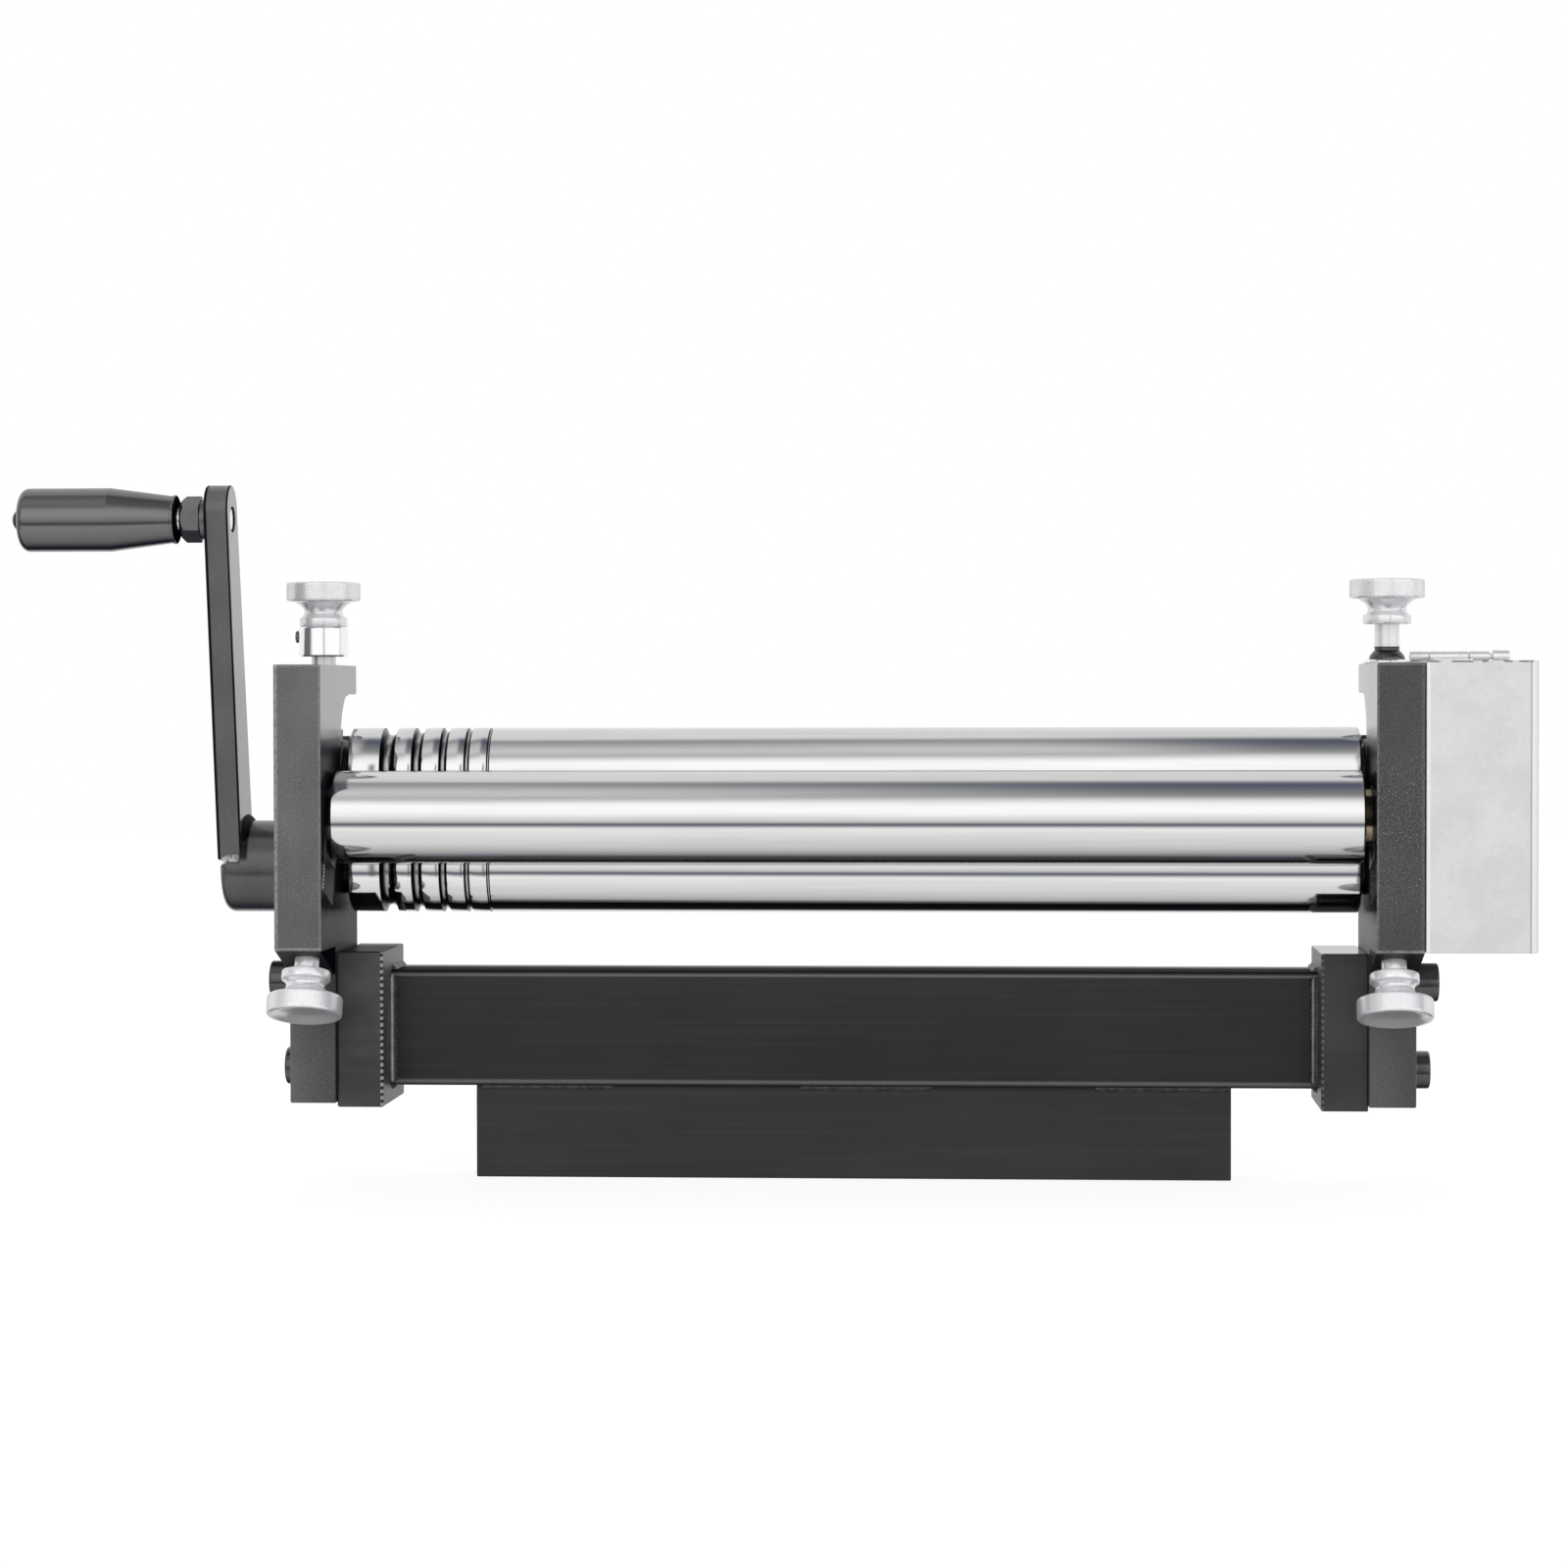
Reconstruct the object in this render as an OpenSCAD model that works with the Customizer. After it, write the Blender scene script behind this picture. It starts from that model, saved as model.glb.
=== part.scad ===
// Slip roll machine for sheet metal and wire, held in a vise by the bar under its beam.
// Lengths are in millimetres. The origin is the centre of the bar's lower face, +X runs
// along the rollers from the crank to the gears, +Y runs from the bending roller's side
// to the feed side, and +Z is up.

/* [Rollers] */
// Diameter of the three rollers
roller_d = 30; // [28:0.5:31]
// Length of each roller's barrel
roller_len = 328; // [200:1:420]
// Height of the lower roller's axis above the bar's lower face
lower_roller_z = 102.4; // [98:0.2:104]
// Depth of the two pinch rollers' axes
pinch_y = -10.5; // [-11.5:0.1:-10]
// Gap between the two pinch rollers at rest
pinch_gap = 0.4; // [0.4:0.1:1]
// Gap between the bending roller and the upper roller at rest
bend_gap = 0.6; // [0.5:0.1:1]
// How far the bending roller's axis lies below the upper roller's at rest
bend_drop = 13.5; // [12:0.1:14]
// Diameter of the rollers' journals
journal_d = 12; // [10:0.5:12]
// Shift of the pinch rollers' barrels towards the gears
pinch_shift = 0.4; // [0:0.1:0.8]
// Shift of the bending roller's barrel towards the crank
bend_shift = 0.6; // [0:0.1:0.8]
// Distance of the first wire groove from the barrel's crank end
groove_start = 13; // [11:0.5:20]
// Widths of the wire grooves, from the barrel's end inwards
groove_widths = [4.8, 3.4, 2.6, 1.8, 1.0];
// Land between neighbouring wire grooves
groove_land = 5.6; // [4:0.1:7]

/* [Side plates] */
// Gap between each end of a centred barrel and its side plate
barrel_end_gap = 2; // [1.5:0.1:4]
// Thickness of a side plate
plate_t = 15; // [13:0.5:18]
// Depth of a side plate
plate_depth = 69; // [67:0.5:76]
// Depth of the plates' front faces
plate_front_y = -60; // [-63:0.5:-59]
// Height of the plates' tops
plate_top_z = 168.3; // [165:0.1:175]
// Height of the lower edge of the front face
front_face_bottom_z = 77.5; // [75:0.5:80]
// Height of the plates' lower ends
plate_bottom_z = 26.5; // [24:0.5:29]
// How far the lower part of a plate is set back
setback = 26.5; // [24:0.5:28]
// Slope of the chamfer under the front face, and of the bending screws, in degrees
bend_tilt = 19; // [17:0.5:20]
// Thickness of the hook above the throat
hook_t = 9.5; // [8:0.1:11]
// Radius in the throat's upper corner
throat_r = 16; // [14:0.5:17]
// Height of the throat's rear wall
throat_wall_top_z = 145; // [138:0.5:146]

/* [Bearing blocks and bushes] */
// Width of the upper bearing blocks
upper_block_w = 22; // [20:0.5:22.5]
// Width of the bending roller's bearing blocks
bend_block_w = 20; // [19:0.5:20.5]
// Wall of the bronze bushes
bush_wall = 2; // [1.5:0.1:2.2]
// Diameter of the bushes' flanges
bush_flange_d = 18; // [17.4:0.2:19]
// Thickness of the blocks' outer flanges
block_flange_t = 2; // [1.5:0.1:2.2]
// Overhang of the blocks' outer flanges
block_flange_over = 2.5; // [2:0.1:2.8]
// Running clearance on a journal's radius
run_gap = 0.05; // [0.02:0.01:0.08]
// Sliding clearance on each side of a block
slide_gap = 0.1; // [0.05:0.01:0.2]

/* [Travel] */
// Travel of the bending roller along its slots
bend_travel = 12; // [8:0.5:12]

/* [Base] */
// Length of an end block along the rollers
end_block_len = 15; // [13:0.5:20]
// Depth of an end block
end_block_depth = 43.5; // [42:0.5:46]
// Depth of the end blocks' rear faces
end_block_rear_y = 12.5; // [11:0.5:14]
// Height of the end blocks' lower faces
end_block_z = 25; // [23:0.5:27]
// Height of an end block
end_block_h = 50.5; // [48:0.5:53]
// Height of the beam
beam_h = 38; // [34:0.5:40]
// Depth of the beam
beam_depth = 27.5; // [25:0.5:30]
// Wall of the beam
beam_wall = 3; // [2:0.5:4]
// Distance of the vise bar's ends from the beam's ends
bar_inset = 27.5; // [10:0.5:60]
// Height of the vise bar
bar_h = 30.5; // [29.5:0.5:32]
// Depth of the vise bar
bar_depth = 20; // [16:0.5:24]
// Leg of the weld beads
weld_leg = 2.5; // [1.5:0.1:2.5]

/* [Screws] */
// Diameter of the adjusting screws
screw_d = 8; // [7:0.5:8]
// Diameter of the adjusting screws' heads
head_d = 24.2; // [22:0.2:26]
// Height of the adjusting screws' heads
head_h = 6.3; // [5:0.1:8]
// Length of the neck between head and collar
neck_h = 5.2; // [4:0.1:7]
// Diameter of the neck's waist
waist_d = 12.4; // [11:0.1:14]
// Diameter of the collar under the neck
collar_d = 15.6; // [14.5:0.1:18]
// Height of the collar under the neck
collar_h = 3.1; // [2:0.1:5]
// Height of the upper screws' collars above the plates
upper_stem_show = 12.7; // [12:0.1:16]
// Length of the bending screws that shows under the chamfer
bend_stem_show = 4; // [1:0.1:5]
// Diameter of the stop collar on the crank side's upper screw
stop_collar_d = 16.4; // [15:0.2:19]
// Height of the stop collar
stop_collar_h = 9.8; // [8:0.1:11]
// Distance of the bending screws from the plates' inner faces
bend_screw_in = 6.2; // [5.6:0.1:9]
// How far behind the bending roller's axis its screws lie
bend_screw_offset = 3; // [0:0.1:3]
// Diameter of the cap screws' shanks
cap_d = 8; // [6:0.5:8]
// Diameter and height of the cap screws' heads
cap_head = [12.4, 7.7];

/* [Crank] */
// Distance from the crank's axis to the handle's axis
crank_r = 115.3; // [90:0.1:140]
// Lean of the crank arm towards the bending roller's side, in degrees
crank_lean = 11.5; // [0:0.5:30]
// Thickness of the crank arm
arm_t = 8; // [6:0.5:9]
// Width of the arm at the hub
arm_root_w = 20.5; // [18:0.5:26]
// Width of the arm at the handle
arm_tip_w = 16; // [14:0.5:23]
// Diameter of the crank's hub
hub_d = 30; // [28:0.5:32]
// Length of the crank's hub
hub_len = 23.3; // [20:0.1:30]
// Length of the grip
grip_len = 51; // [45:0.5:90]
// Diameter of the grip's round part
grip_d = 20.6; // [18:0.2:26]
// Diameter of the grip's narrow end
grip_end_d = 15.5; // [14.5:0.1:18]

/* [Gears and guard] */
// Number of teeth on each gear
gear_teeth = 15; // [15:1:15]
// Module of the gear teeth
gear_module = 2; // [1.9:0.05:2]
// Width of the gears
gear_w = 15; // [12:0.5:17]
// Width of the guard along the rollers
guard_w = 35.1; // [34:0.1:42]
// Height of the guard
guard_h = 91.2; // [89:0.1:93]
// Thickness of the guard's sheet
guard_t = 1.2; // [0.8:0.1:1.5]
// Diameter of the hinge's barrel
barrel_d = 3.4; // [3:0.1:4]

/* [Hidden] */
$fn = 64;
overrun = 1;
fit_gap = 0.02;
end_float = 0.3;
block_end_gap = 0.35;

// Axes of the rollers
upper_roller_z = lower_roller_z + roller_d + pinch_gap;
bend_z = upper_roller_z - bend_drop;
bend_y = pinch_y - sqrt(pow(roller_d + bend_gap, 2) - pow(bend_drop, 2));

// Faces of the side plates
inner_x = roller_len / 2 + barrel_end_gap;
outer_x = inner_x + plate_t;
plate_rear_y = plate_front_y + plate_depth;
plate_mid_x = inner_x + plate_t / 2;
lower_front_y = plate_front_y + setback;
chamfer_end_z = front_face_bottom_z - setback * tan(bend_tilt);

// Bushes, and the gap between each barrel's end and its plate
bush_d = journal_d + 2 * bush_wall;
block_sleeve_len = plate_t + block_flange_t;
pinch_gap_crank = barrel_end_gap + pinch_shift;
pinch_gap_gear = barrel_end_gap - pinch_shift;
bend_gap_crank = barrel_end_gap - bend_shift;
bend_gap_gear = barrel_end_gap + bend_shift;

// Throat that holds the upper bearing blocks
throat_front_y = pinch_y - upper_block_w / 2 - slide_gap;
throat_rear_y = pinch_y + upper_block_w / 2 + slide_gap;
block_foot = 5;
upper_block_tail = bush_d / 2 + block_foot;
throat_floor_z = upper_roller_z - upper_block_tail - block_end_gap;
hook_under_z = plate_top_z - hook_t;

// Tips of the adjusting screws, each held in a slot in its block
tip_neck_d = 4.4;
tip_neck_h = 2.2;
tip_button_d = 6.6;
tip_button_h = 2.4;
tip_gap = 0.2;
tip_lip = 1.8;
tip_wall = 1.9;
tip_cavity_h = tip_button_h + 2 * tip_gap;
tip_depth = tip_lip + tip_cavity_h;
boss_top = bush_d / 2 + tip_wall + tip_depth;
boss_w = 12;
boss_len = 12.8;

// Slots that hold the bending roller's blocks, measured along the screws
bend_block_tail = bush_d / 2 + tip_wall + tip_depth;
bend_slot_r = bend_block_w / 2 + slide_gap;
bend_slot_len = bend_block_tail + bend_travel + block_end_gap;
bend_to_chamfer = (bend_z - front_face_bottom_z) * cos(bend_tilt)
    + (bend_y - plate_front_y) * sin(bend_tilt);

// Adjusting screws
tapped_d = screw_d + 2 * run_gap;
knob_h = head_h + neck_h + collar_h;
head_edge = 0.7;
collar_edge = 0.35;
head_foot_share = 4 / 5;
flare_share = 1 / 2;
waist_height_share = 1 / 3;
curve_steps = 5;
bend_screw_x = inner_x + bend_screw_in;
upper_tip_z = upper_roller_z + boss_top - tip_lip - tip_gap - tip_button_h;
jam_washer_t = 1.2;
jam_washer_d = 15.4;
jam_nut_h = 4.4;
jam_nut_d = 12;
jam_nut_af = 11.4;
jam_nut_edge = 0.4;
stop_grub_d = 4;
stop_grub_len = 3.6;
stop_grub_proud = 0.9;
stop_grub_af = 2;
stop_grub_rise = 6.5;

// Cap screws that hold the side plates on the end blocks
cap_front_inset = 7.5;
cap_rear_inset = 9.1;
cap_top_inset = 9.6;
cap_low_inset = 10.3;
cap_grip = 13;
cap_socket_af = 6;
cap_socket_h = 4;

// Beam and bar
beam_len = 2 * (inner_x - end_block_len);
bar_len = beam_len - 2 * bar_inset;
beam_z = bar_h;
beam_front_y = end_block_rear_y - beam_depth;
end_block_front_y = end_block_rear_y - end_block_depth;
beam_corner_r = 2.5;
low_leg_share = 3 / 5;
bar_chamfer = 0.8;
bar_bevel_h = 3;
bar_bevel_t = 0.4;
bar_weld_share = 9 / 50;
bar_weld_place_shares = [-0.405, 0.02, 0.409];

// Middles of the cap screws, as depth and height
cap_places = [
    [end_block_front_y + cap_front_inset, end_block_z + end_block_h - cap_top_inset],
    [end_block_rear_y - cap_rear_inset, end_block_z + cap_low_inset]];

// Crank
hub_gap = 1.4;
hub_inner_x = -outer_x - hub_gap;
hub_outer_x = hub_inner_x - hub_len;
arm_proud = 1.2;
arm_outer_x = hub_outer_x - arm_proud;
arm_root = 4.4;
arm_past = 3;
crank_leg_share = 4 / 5;
handle_hole_d = screw_d + 2 * fit_gap;
handle_y = pinch_y - crank_r * sin(crank_lean);
handle_z = lower_roller_z + crank_r * cos(crank_lean);
lock_washer_t = 2;
lock_washer_d = 13;
nut_af = 13;
nut_h = 6.5;
nut_chamfer_h = 1.6;
nut_face_share = 9 / 10;
grip_start_gap = 1.6;
grip_x = arm_outer_x - lock_washer_t - nut_h - grip_start_gap;
grip_round_len = 29.6;
grip_ring_h = 1.4;
grip_ring_proud = 0.35;
grip_round_r = 3;
grip_arc_steps = 6;
grip_bore_d = screw_d + 2 * slide_gap;
spindle_head_d = 12;
spindle_head_h = 4;
spindle_sink = 0.5;
dome_r = 4;
dome_h = 3;
hub_screw_d = 6;
hub_screw_h = 7;
hub_screw_af = 3;
hub_screw_socket_h = 3.5;
hub_screw_inset = 7;
hub_screw_x = hub_inner_x - hub_screw_inset;

// Gears
gear_gap = 1;
gear_x = outer_x + block_flange_t + gear_gap;
pressure_angle = 25;
flank_steps = 5;
gear_clear_share = 1.2;
key_w = 4;
key_sink = 2.3;
key_proud = 1.7;
key_len = 12;
washer_d = 18;
washer_t = 1.5;
end_screw_d = 5;
end_screw_head = [8.5, 5];
end_screw_grip = 10;
end_screw_af = 4;
end_screw_socket_h = 2.5;

// Journals and their retaining rings
clip_t = 1.2;
clip_groove_depth = 0.8;
clip_groove_d = journal_d - 2 * clip_groove_depth;
clip_rim = 2;
clip_d = journal_d + 2 * clip_rim;
clip_mouth = 7;
clip_tail = 1.4;
clip_x = outer_x + block_flange_t + end_float;
bend_clip_x = outer_x + end_float;
past_clip = clip_t + clip_tail;

// Guard
guard_gap = 0.3;
guard_step = 0.5;
guard_x0 = outer_x + guard_gap;
guard_x1 = outer_x + guard_w;
guard_z0 = plate_top_z + guard_step - guard_h;
guard_z1 = guard_z0 + guard_h;
guard_corner_r = 2.4;
panel_y = plate_rear_y - guard_t;
tab_insets = [16, 34];
tab_ys = [plate_front_y + tab_insets[0], plate_front_y + tab_insets[1]];
tab_len = 12;
tab_h = 9.5;
tab_screw_d = 4;
tab_screw_head = [7.5, 2.4];
tab_screw_grip = 8;
tab_screw_slot = 0.6;
tab_inset = 5.2;

// Hinge of the guard
leaf_t = 1;
hinge_lift = 0.2;
hinge_y = plate_rear_y + leaf_t - barrel_d / 2;
hinge_z = guard_z1 + barrel_d / 2 + hinge_lift;
hinge_inset = 1.1;
knuckle_end_len = 6.4;
knuckle_mid_len = 13;
knuckle_outer_len = 6.8;
knuckle_gap = 0.15;
hinge_x0 = guard_x0 + hinge_inset;
hinge_x1 = hinge_x0 + knuckle_end_len;
hinge_x2 = hinge_x1 + knuckle_mid_len;
hinge_x = [hinge_x0, hinge_x1, hinge_x2, hinge_x2 + knuckle_outer_len];
pin_d = 1.8;
leaf_reach = 15;
leaf_finger_reach = 5;
pin_head_d = 4.2;
pin_head_gap = 0.8;
pin_head_len = 5.6;
pin_head_x = hinge_x[3] + pin_head_gap;
rivet_d = 3;
rivet_h = 0.8;
rivet_inset = 4;

// General helpers

// Draws an outline of depths and heights as a solid that runs along X.
module along_x(x0, len) {
    translate([x0, 0, 0]) rotate([90, 0, 90]) linear_extrude(len) children();
}

// A round rod along X.
module rod_x(d, x0, x1, y, z) {
    translate([x0, y, z]) rotate([0, 90, 0]) cylinder(d = d, h = x1 - x0);
}

// A ring along X.
module ring_x(d_out, d_in, x0, x1, y, z) {
    difference() {
        rod_x(d_out, x0, x1, y, z);
        rod_x(d_in, x0 - overrun, x1 + overrun, y, z);
    }
}

// Keeps a shape, or sets its mirror image on the crank side.
module on_side(side) {
    if (side > 0) children();
    else mirror([1, 0, 0]) children();
}

// Frame whose Z axis is the bending screws' line, with its origin on the bending roller's axis.
module bend_frame() {
    translate([0, bend_y, bend_z]) rotate([-bend_tilt, 0, 0]) children();
}

// A rectangle with round corners.
module round_rect(w, h, r) {
    translate([r, 0]) square([w - 2 * r, h]);
    translate([0, r]) square([w, h - 2 * r]);
    for (x = [r, w - r], y = [r, h - r]) translate([x, y]) circle(r);
}

// A hexagon across flats, drawn with a flat towards +X.
module hexagon(af) {
    rotate(30) circle(d = af / cos(30), $fn = 6);
}

// Side plates

// Side of a plate without its bores: depth to the right, height upwards.
module plate_outline() {
    difference() {
        polygon([
            [plate_front_y, front_face_bottom_z], [plate_front_y, plate_top_z],
            [plate_rear_y, plate_top_z], [plate_rear_y, plate_bottom_z],
            [lower_front_y, plate_bottom_z], [lower_front_y, chamfer_end_z]]);
        throat_outline();
    }
}

// Opening for the upper bearing block, with its mouth to the rear under the hook.
module throat_outline() {
    corner_y = throat_front_y + throat_r;
    corner_z = hook_under_z - throat_r;
    translate([throat_front_y, throat_floor_z])
        square([throat_rear_y - throat_front_y, corner_z - throat_floor_z]);
    translate([corner_y, throat_wall_top_z])
        square([plate_rear_y + overrun - corner_y, hook_under_z - throat_wall_top_z]);
    translate([corner_y - overrun, corner_z])
        square([throat_rear_y - corner_y + overrun, throat_r]);
    intersection() {
        translate([corner_y, corner_z]) circle(throat_r);
        translate([throat_front_y, corner_z]) square([throat_r, throat_r]);
    }
}

// Slot for a bending block, in the frame of the bending screws.
module bend_slot() {
    translate([inner_x - overrun, 0, 0]) rotate([0, 90, 0])
        cylinder(r = bend_slot_r, h = plate_t + 2 * overrun);
    translate([inner_x - overrun, -bend_slot_r, -bend_slot_len])
        cube([plate_t + 2 * overrun, 2 * bend_slot_r, bend_slot_len]);
}

module side_plate(side) {
    on_side(side) difference() {
        along_x(inner_x, plate_t) plate_outline();
        rod_x(bush_d + 2 * fit_gap, inner_x - overrun, outer_x + overrun, pinch_y, lower_roller_z);
        bend_frame() {
            bend_slot();
            translate([bend_screw_x, bend_screw_offset, -bend_to_chamfer - setback])
                cylinder(d = tapped_d, h = bend_to_chamfer + setback - bend_slot_len + overrun);
        }
        translate([plate_mid_x, pinch_y, hook_under_z - throat_r])
            cylinder(d = tapped_d, h = throat_r + hook_t + overrun);
        for (p = cap_places)
            rod_x(cap_d + 2 * slide_gap, inner_x - overrun, outer_x + overrun, p[0], p[1]);
        if (side > 0) for (p = tab_places())
            rod_x(tab_screw_d + 2 * fit_gap, outer_x - tab_screw_grip, outer_x + overrun, p[0], p[1]);
    }
}

module left_side_plate() { color([0.40, 0.40, 0.41]) side_plate(-1); }
module right_side_plate() { color([0.31, 0.31, 0.32]) side_plate(1); }

// Base

module end_block(side) {
    on_side(side) difference() {
        translate([inner_x - end_block_len, end_block_front_y, end_block_z])
            cube([end_block_len, end_block_depth, end_block_h]);
        for (p = cap_places)
            rod_x(cap_d + 2 * fit_gap, inner_x - cap_grip - overrun, inner_x + overrun, p[0], p[1]);
    }
}

module left_end_block() { color([0.22, 0.22, 0.23]) end_block(-1); }
module right_end_block() { color([0.22, 0.22, 0.23]) end_block(1); }

module base_beam() {
    color([0.19, 0.19, 0.20]) along_x(-beam_len / 2, beam_len) translate([beam_front_y, beam_z])
        difference() {
            round_rect(beam_depth, beam_h, beam_corner_r);
            translate([beam_wall, beam_wall])
                square([beam_depth - 2 * beam_wall, beam_h - 2 * beam_wall]);
        }
}

// Bar that a vise grips. Its upper edges are bevelled, and the stitch beads lie on the bevels.
module vise_bar() {
    c = bar_chamfer;
    w = bar_depth / 2;
    top = w - bar_bevel_t;
    bevel_z = bar_h - bar_bevel_h;
    color([0.19, 0.19, 0.20]) along_x(-bar_len / 2, bar_len) polygon([
        [-w + c, 0], [w - c, 0], [w, c], [w, bevel_z],
        [top, bar_h], [-top, bar_h], [-w, bevel_z], [-w, c]]);
}

// Fillet beads between the beam's ends and the end blocks, on the beam's top, underside and front.
module beam_welds() {
    bead_d0 = beam_front_y + beam_corner_r;
    bead_depth = beam_depth - 2 * beam_corner_r;
    x = beam_len / 2;
    top_z = beam_z + beam_h;
    low_leg = weld_leg * low_leg_share;
    color([0.16, 0.16, 0.17]) for (side = [-1, 1]) on_side(side) {
        translate([0, bead_d0 + bead_depth, 0]) rotate([90, 0, 0]) linear_extrude(bead_depth) {
            polygon([[x, top_z], [x - low_leg, top_z], [x, top_z + low_leg]]);
            polygon([[x, beam_z], [x - low_leg, beam_z], [x, beam_z - low_leg]]);
        }
        translate([0, 0, beam_z + beam_corner_r]) linear_extrude(beam_h - 2 * beam_corner_r)
            polygon([[x, beam_front_y], [x - weld_leg, beam_front_y], [x, beam_front_y - weld_leg]]);
    }
}

// Stitch beads that hold the bar under the beam, in front and behind.
module bar_welds() {
    leg = min(weld_leg, beam_depth / 2 - bar_depth / 2 - beam_corner_r + bar_bevel_t);
    w = bar_depth / 2;
    top = w - bar_bevel_t;
    color([0.16, 0.16, 0.17]) for (place = bar_weld_place_shares, side = [-1, 1])
        along_x((place - bar_weld_share / 2) * bar_len, bar_weld_share * bar_len)
            polygon([[side * w, bar_h - bar_bevel_h], [side * top, bar_h],
                     [side * (top + leg), bar_h]]);
}

module cap_screw_x(y, z) {
    difference() {
        union() {
            rod_x(cap_head[0], outer_x, outer_x + cap_head[1], y, z);
            rod_x(cap_d, inner_x - cap_grip, outer_x + overrun, y, z);
        }
        translate([outer_x + cap_head[1] - cap_socket_h, y, z]) rotate([0, 90, 0])
            linear_extrude(cap_socket_h + overrun) hexagon(cap_socket_af);
    }
}

module cap_screws() {
    color([0.12, 0.12, 0.13]) for (side = [-1, 1], p = cap_places)
        on_side(side) cap_screw_x(p[0], p[1]);
}

// Bushes: a sleeve of the given length that starts at the plates' inner faces, with a flange inwards.
module bush(y, z, sleeve_len, gap) {
    difference() {
        union() {
            rod_x(bush_d, inner_x, inner_x + sleeve_len, y, z);
            rod_x(bush_flange_d, inner_x - gap + end_float, inner_x, y, z);
        }
        rod_x(journal_d + 2 * run_gap, inner_x - gap - overrun, inner_x + sleeve_len + overrun, y, z);
    }
}

module lower_bush_left() {
    color([0.75, 0.60, 0.38]) on_side(-1)
        bush(pinch_y, lower_roller_z, plate_t, pinch_gap_crank);
}
module lower_bush_right() {
    color([0.75, 0.60, 0.38]) bush(pinch_y, lower_roller_z, plate_t, pinch_gap_gear);
}
module upper_bush_left() {
    color([0.75, 0.60, 0.38]) on_side(-1)
        bush(pinch_y, upper_roller_z, block_sleeve_len, pinch_gap_crank);
}
module upper_bush_right() {
    color([0.75, 0.60, 0.38]) bush(pinch_y, upper_roller_z, block_sleeve_len, pinch_gap_gear);
}
module bending_bush_left() {
    color([0.75, 0.60, 0.38]) on_side(-1) bush(bend_y, bend_z, plate_t, bend_gap_crank);
}
module bending_bush_right() {
    color([0.75, 0.60, 0.38]) bush(bend_y, bend_z, plate_t, bend_gap_gear);
}

// Slot that holds a screw's tip, open to the outer end. The tip's line is Z, and the block's
// end face is z = 0.
module tip_slot(screw_x) {
    reach = outer_x + block_flange_t + overrun - screw_x;
    for (cut = [[tip_neck_d + 2 * tip_gap, -tip_lip - tip_gap, tip_lip + tip_gap + overrun],
                [tip_button_d + 2 * tip_gap, -tip_depth, tip_cavity_h]])
        translate([screw_x, 0, cut[1]]) {
            cylinder(d = cut[0], h = cut[2]);
            translate([0, -cut[0] / 2, 0]) cube([reach, cut[0], cut[2]]);
        }
}

// Upper bearing block, with an arched top and a boss for the screw's tip.
module upper_block_outline(w, tail) {
    translate([pinch_y, upper_roller_z]) {
        circle(d = w);
        translate([-w / 2, -tail]) square([w, tail]);
    }
}

module upper_block(side) {
    on_side(side) difference() {
        union() {
            along_x(inner_x, block_sleeve_len) upper_block_outline(upper_block_w, upper_block_tail);
            along_x(outer_x + slide_gap, block_flange_t - slide_gap)
                upper_block_outline(upper_block_w + 2 * block_flange_over,
                                    upper_block_tail - block_flange_over);
            translate([outer_x - boss_len, pinch_y - boss_w / 2, upper_roller_z])
                cube([boss_len, boss_w, boss_top]);
        }
        rod_x(bush_d + 2 * fit_gap, inner_x - overrun, inner_x + block_sleeve_len + overrun,
              pinch_y, upper_roller_z);
        translate([0, pinch_y, upper_roller_z + boss_top]) tip_slot(plate_mid_x);
    }
}

module upper_block_left() { color([0.45, 0.45, 0.46]) upper_block(-1); }
module upper_block_right() { color([0.45, 0.45, 0.46]) upper_block(1); }

// Bearing block of the bending roller: round above, square below, where the screw's tip is held.
module bending_block(side) {
    w = bend_block_w;
    on_side(side) bend_frame() difference() {
        union() {
            translate([inner_x, 0, 0]) rotate([0, 90, 0]) cylinder(d = w, h = plate_t);
            translate([inner_x, -w / 2, -bend_block_tail]) cube([plate_t, w, bend_block_tail]);
        }
        translate([inner_x - overrun, 0, 0]) rotate([0, 90, 0])
            cylinder(d = bush_d + 2 * fit_gap, h = plate_t + 2 * overrun);
        translate([0, bend_screw_offset, -bend_block_tail]) mirror([0, 0, 1]) tip_slot(bend_screw_x);
    }
}

module bending_block_left() { color([0.45, 0.45, 0.46]) bending_block(-1); }
module bending_block_right() { color([0.45, 0.45, 0.46]) bending_block(1); }

// Rollers

// Distance of each groove's middle from the barrel's crank end.
function groove_place(i) = i == 0 ? groove_start
    : groove_place(i - 1) + (groove_widths[i - 1] + groove_widths[i]) / 2 + groove_land;

// Barrel and journals of a roller. shift moves the barrel towards the gears.
module roller(y, z, shift, x_left, x_right, grooved) {
    start = -roller_len / 2 + shift;
    translate([0, y, z]) rotate([0, 90, 0]) difference() {
        union() {
            translate([0, 0, start]) cylinder(d = roller_d, h = roller_len);
            translate([0, 0, x_left]) cylinder(d = journal_d, h = x_right - x_left);
        }
        if (grooved) for (i = [0 : len(groove_widths) - 1])
            translate([0, 0, start + groove_place(i)])
                rotate_extrude() translate([roller_d / 2, 0]) circle(d = groove_widths[i], $fn = 24);
    }
}

// Groove for a retaining ring, and the ring itself.
module clip_groove(x, y, z) {
    ring_x(journal_d + 2 * overrun, clip_groove_d, x, x + clip_t + 2 * run_gap, y, z);
}

module clip(x, y, z) {
    difference() {
        ring_x(clip_d, clip_groove_d + 2 * run_gap, x + run_gap, x + run_gap + clip_t, y, z);
        translate([x - overrun, y - clip_mouth / 2, z - clip_d])
            cube([clip_t + 2 * overrun, clip_mouth, clip_d]);
    }
}

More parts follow.
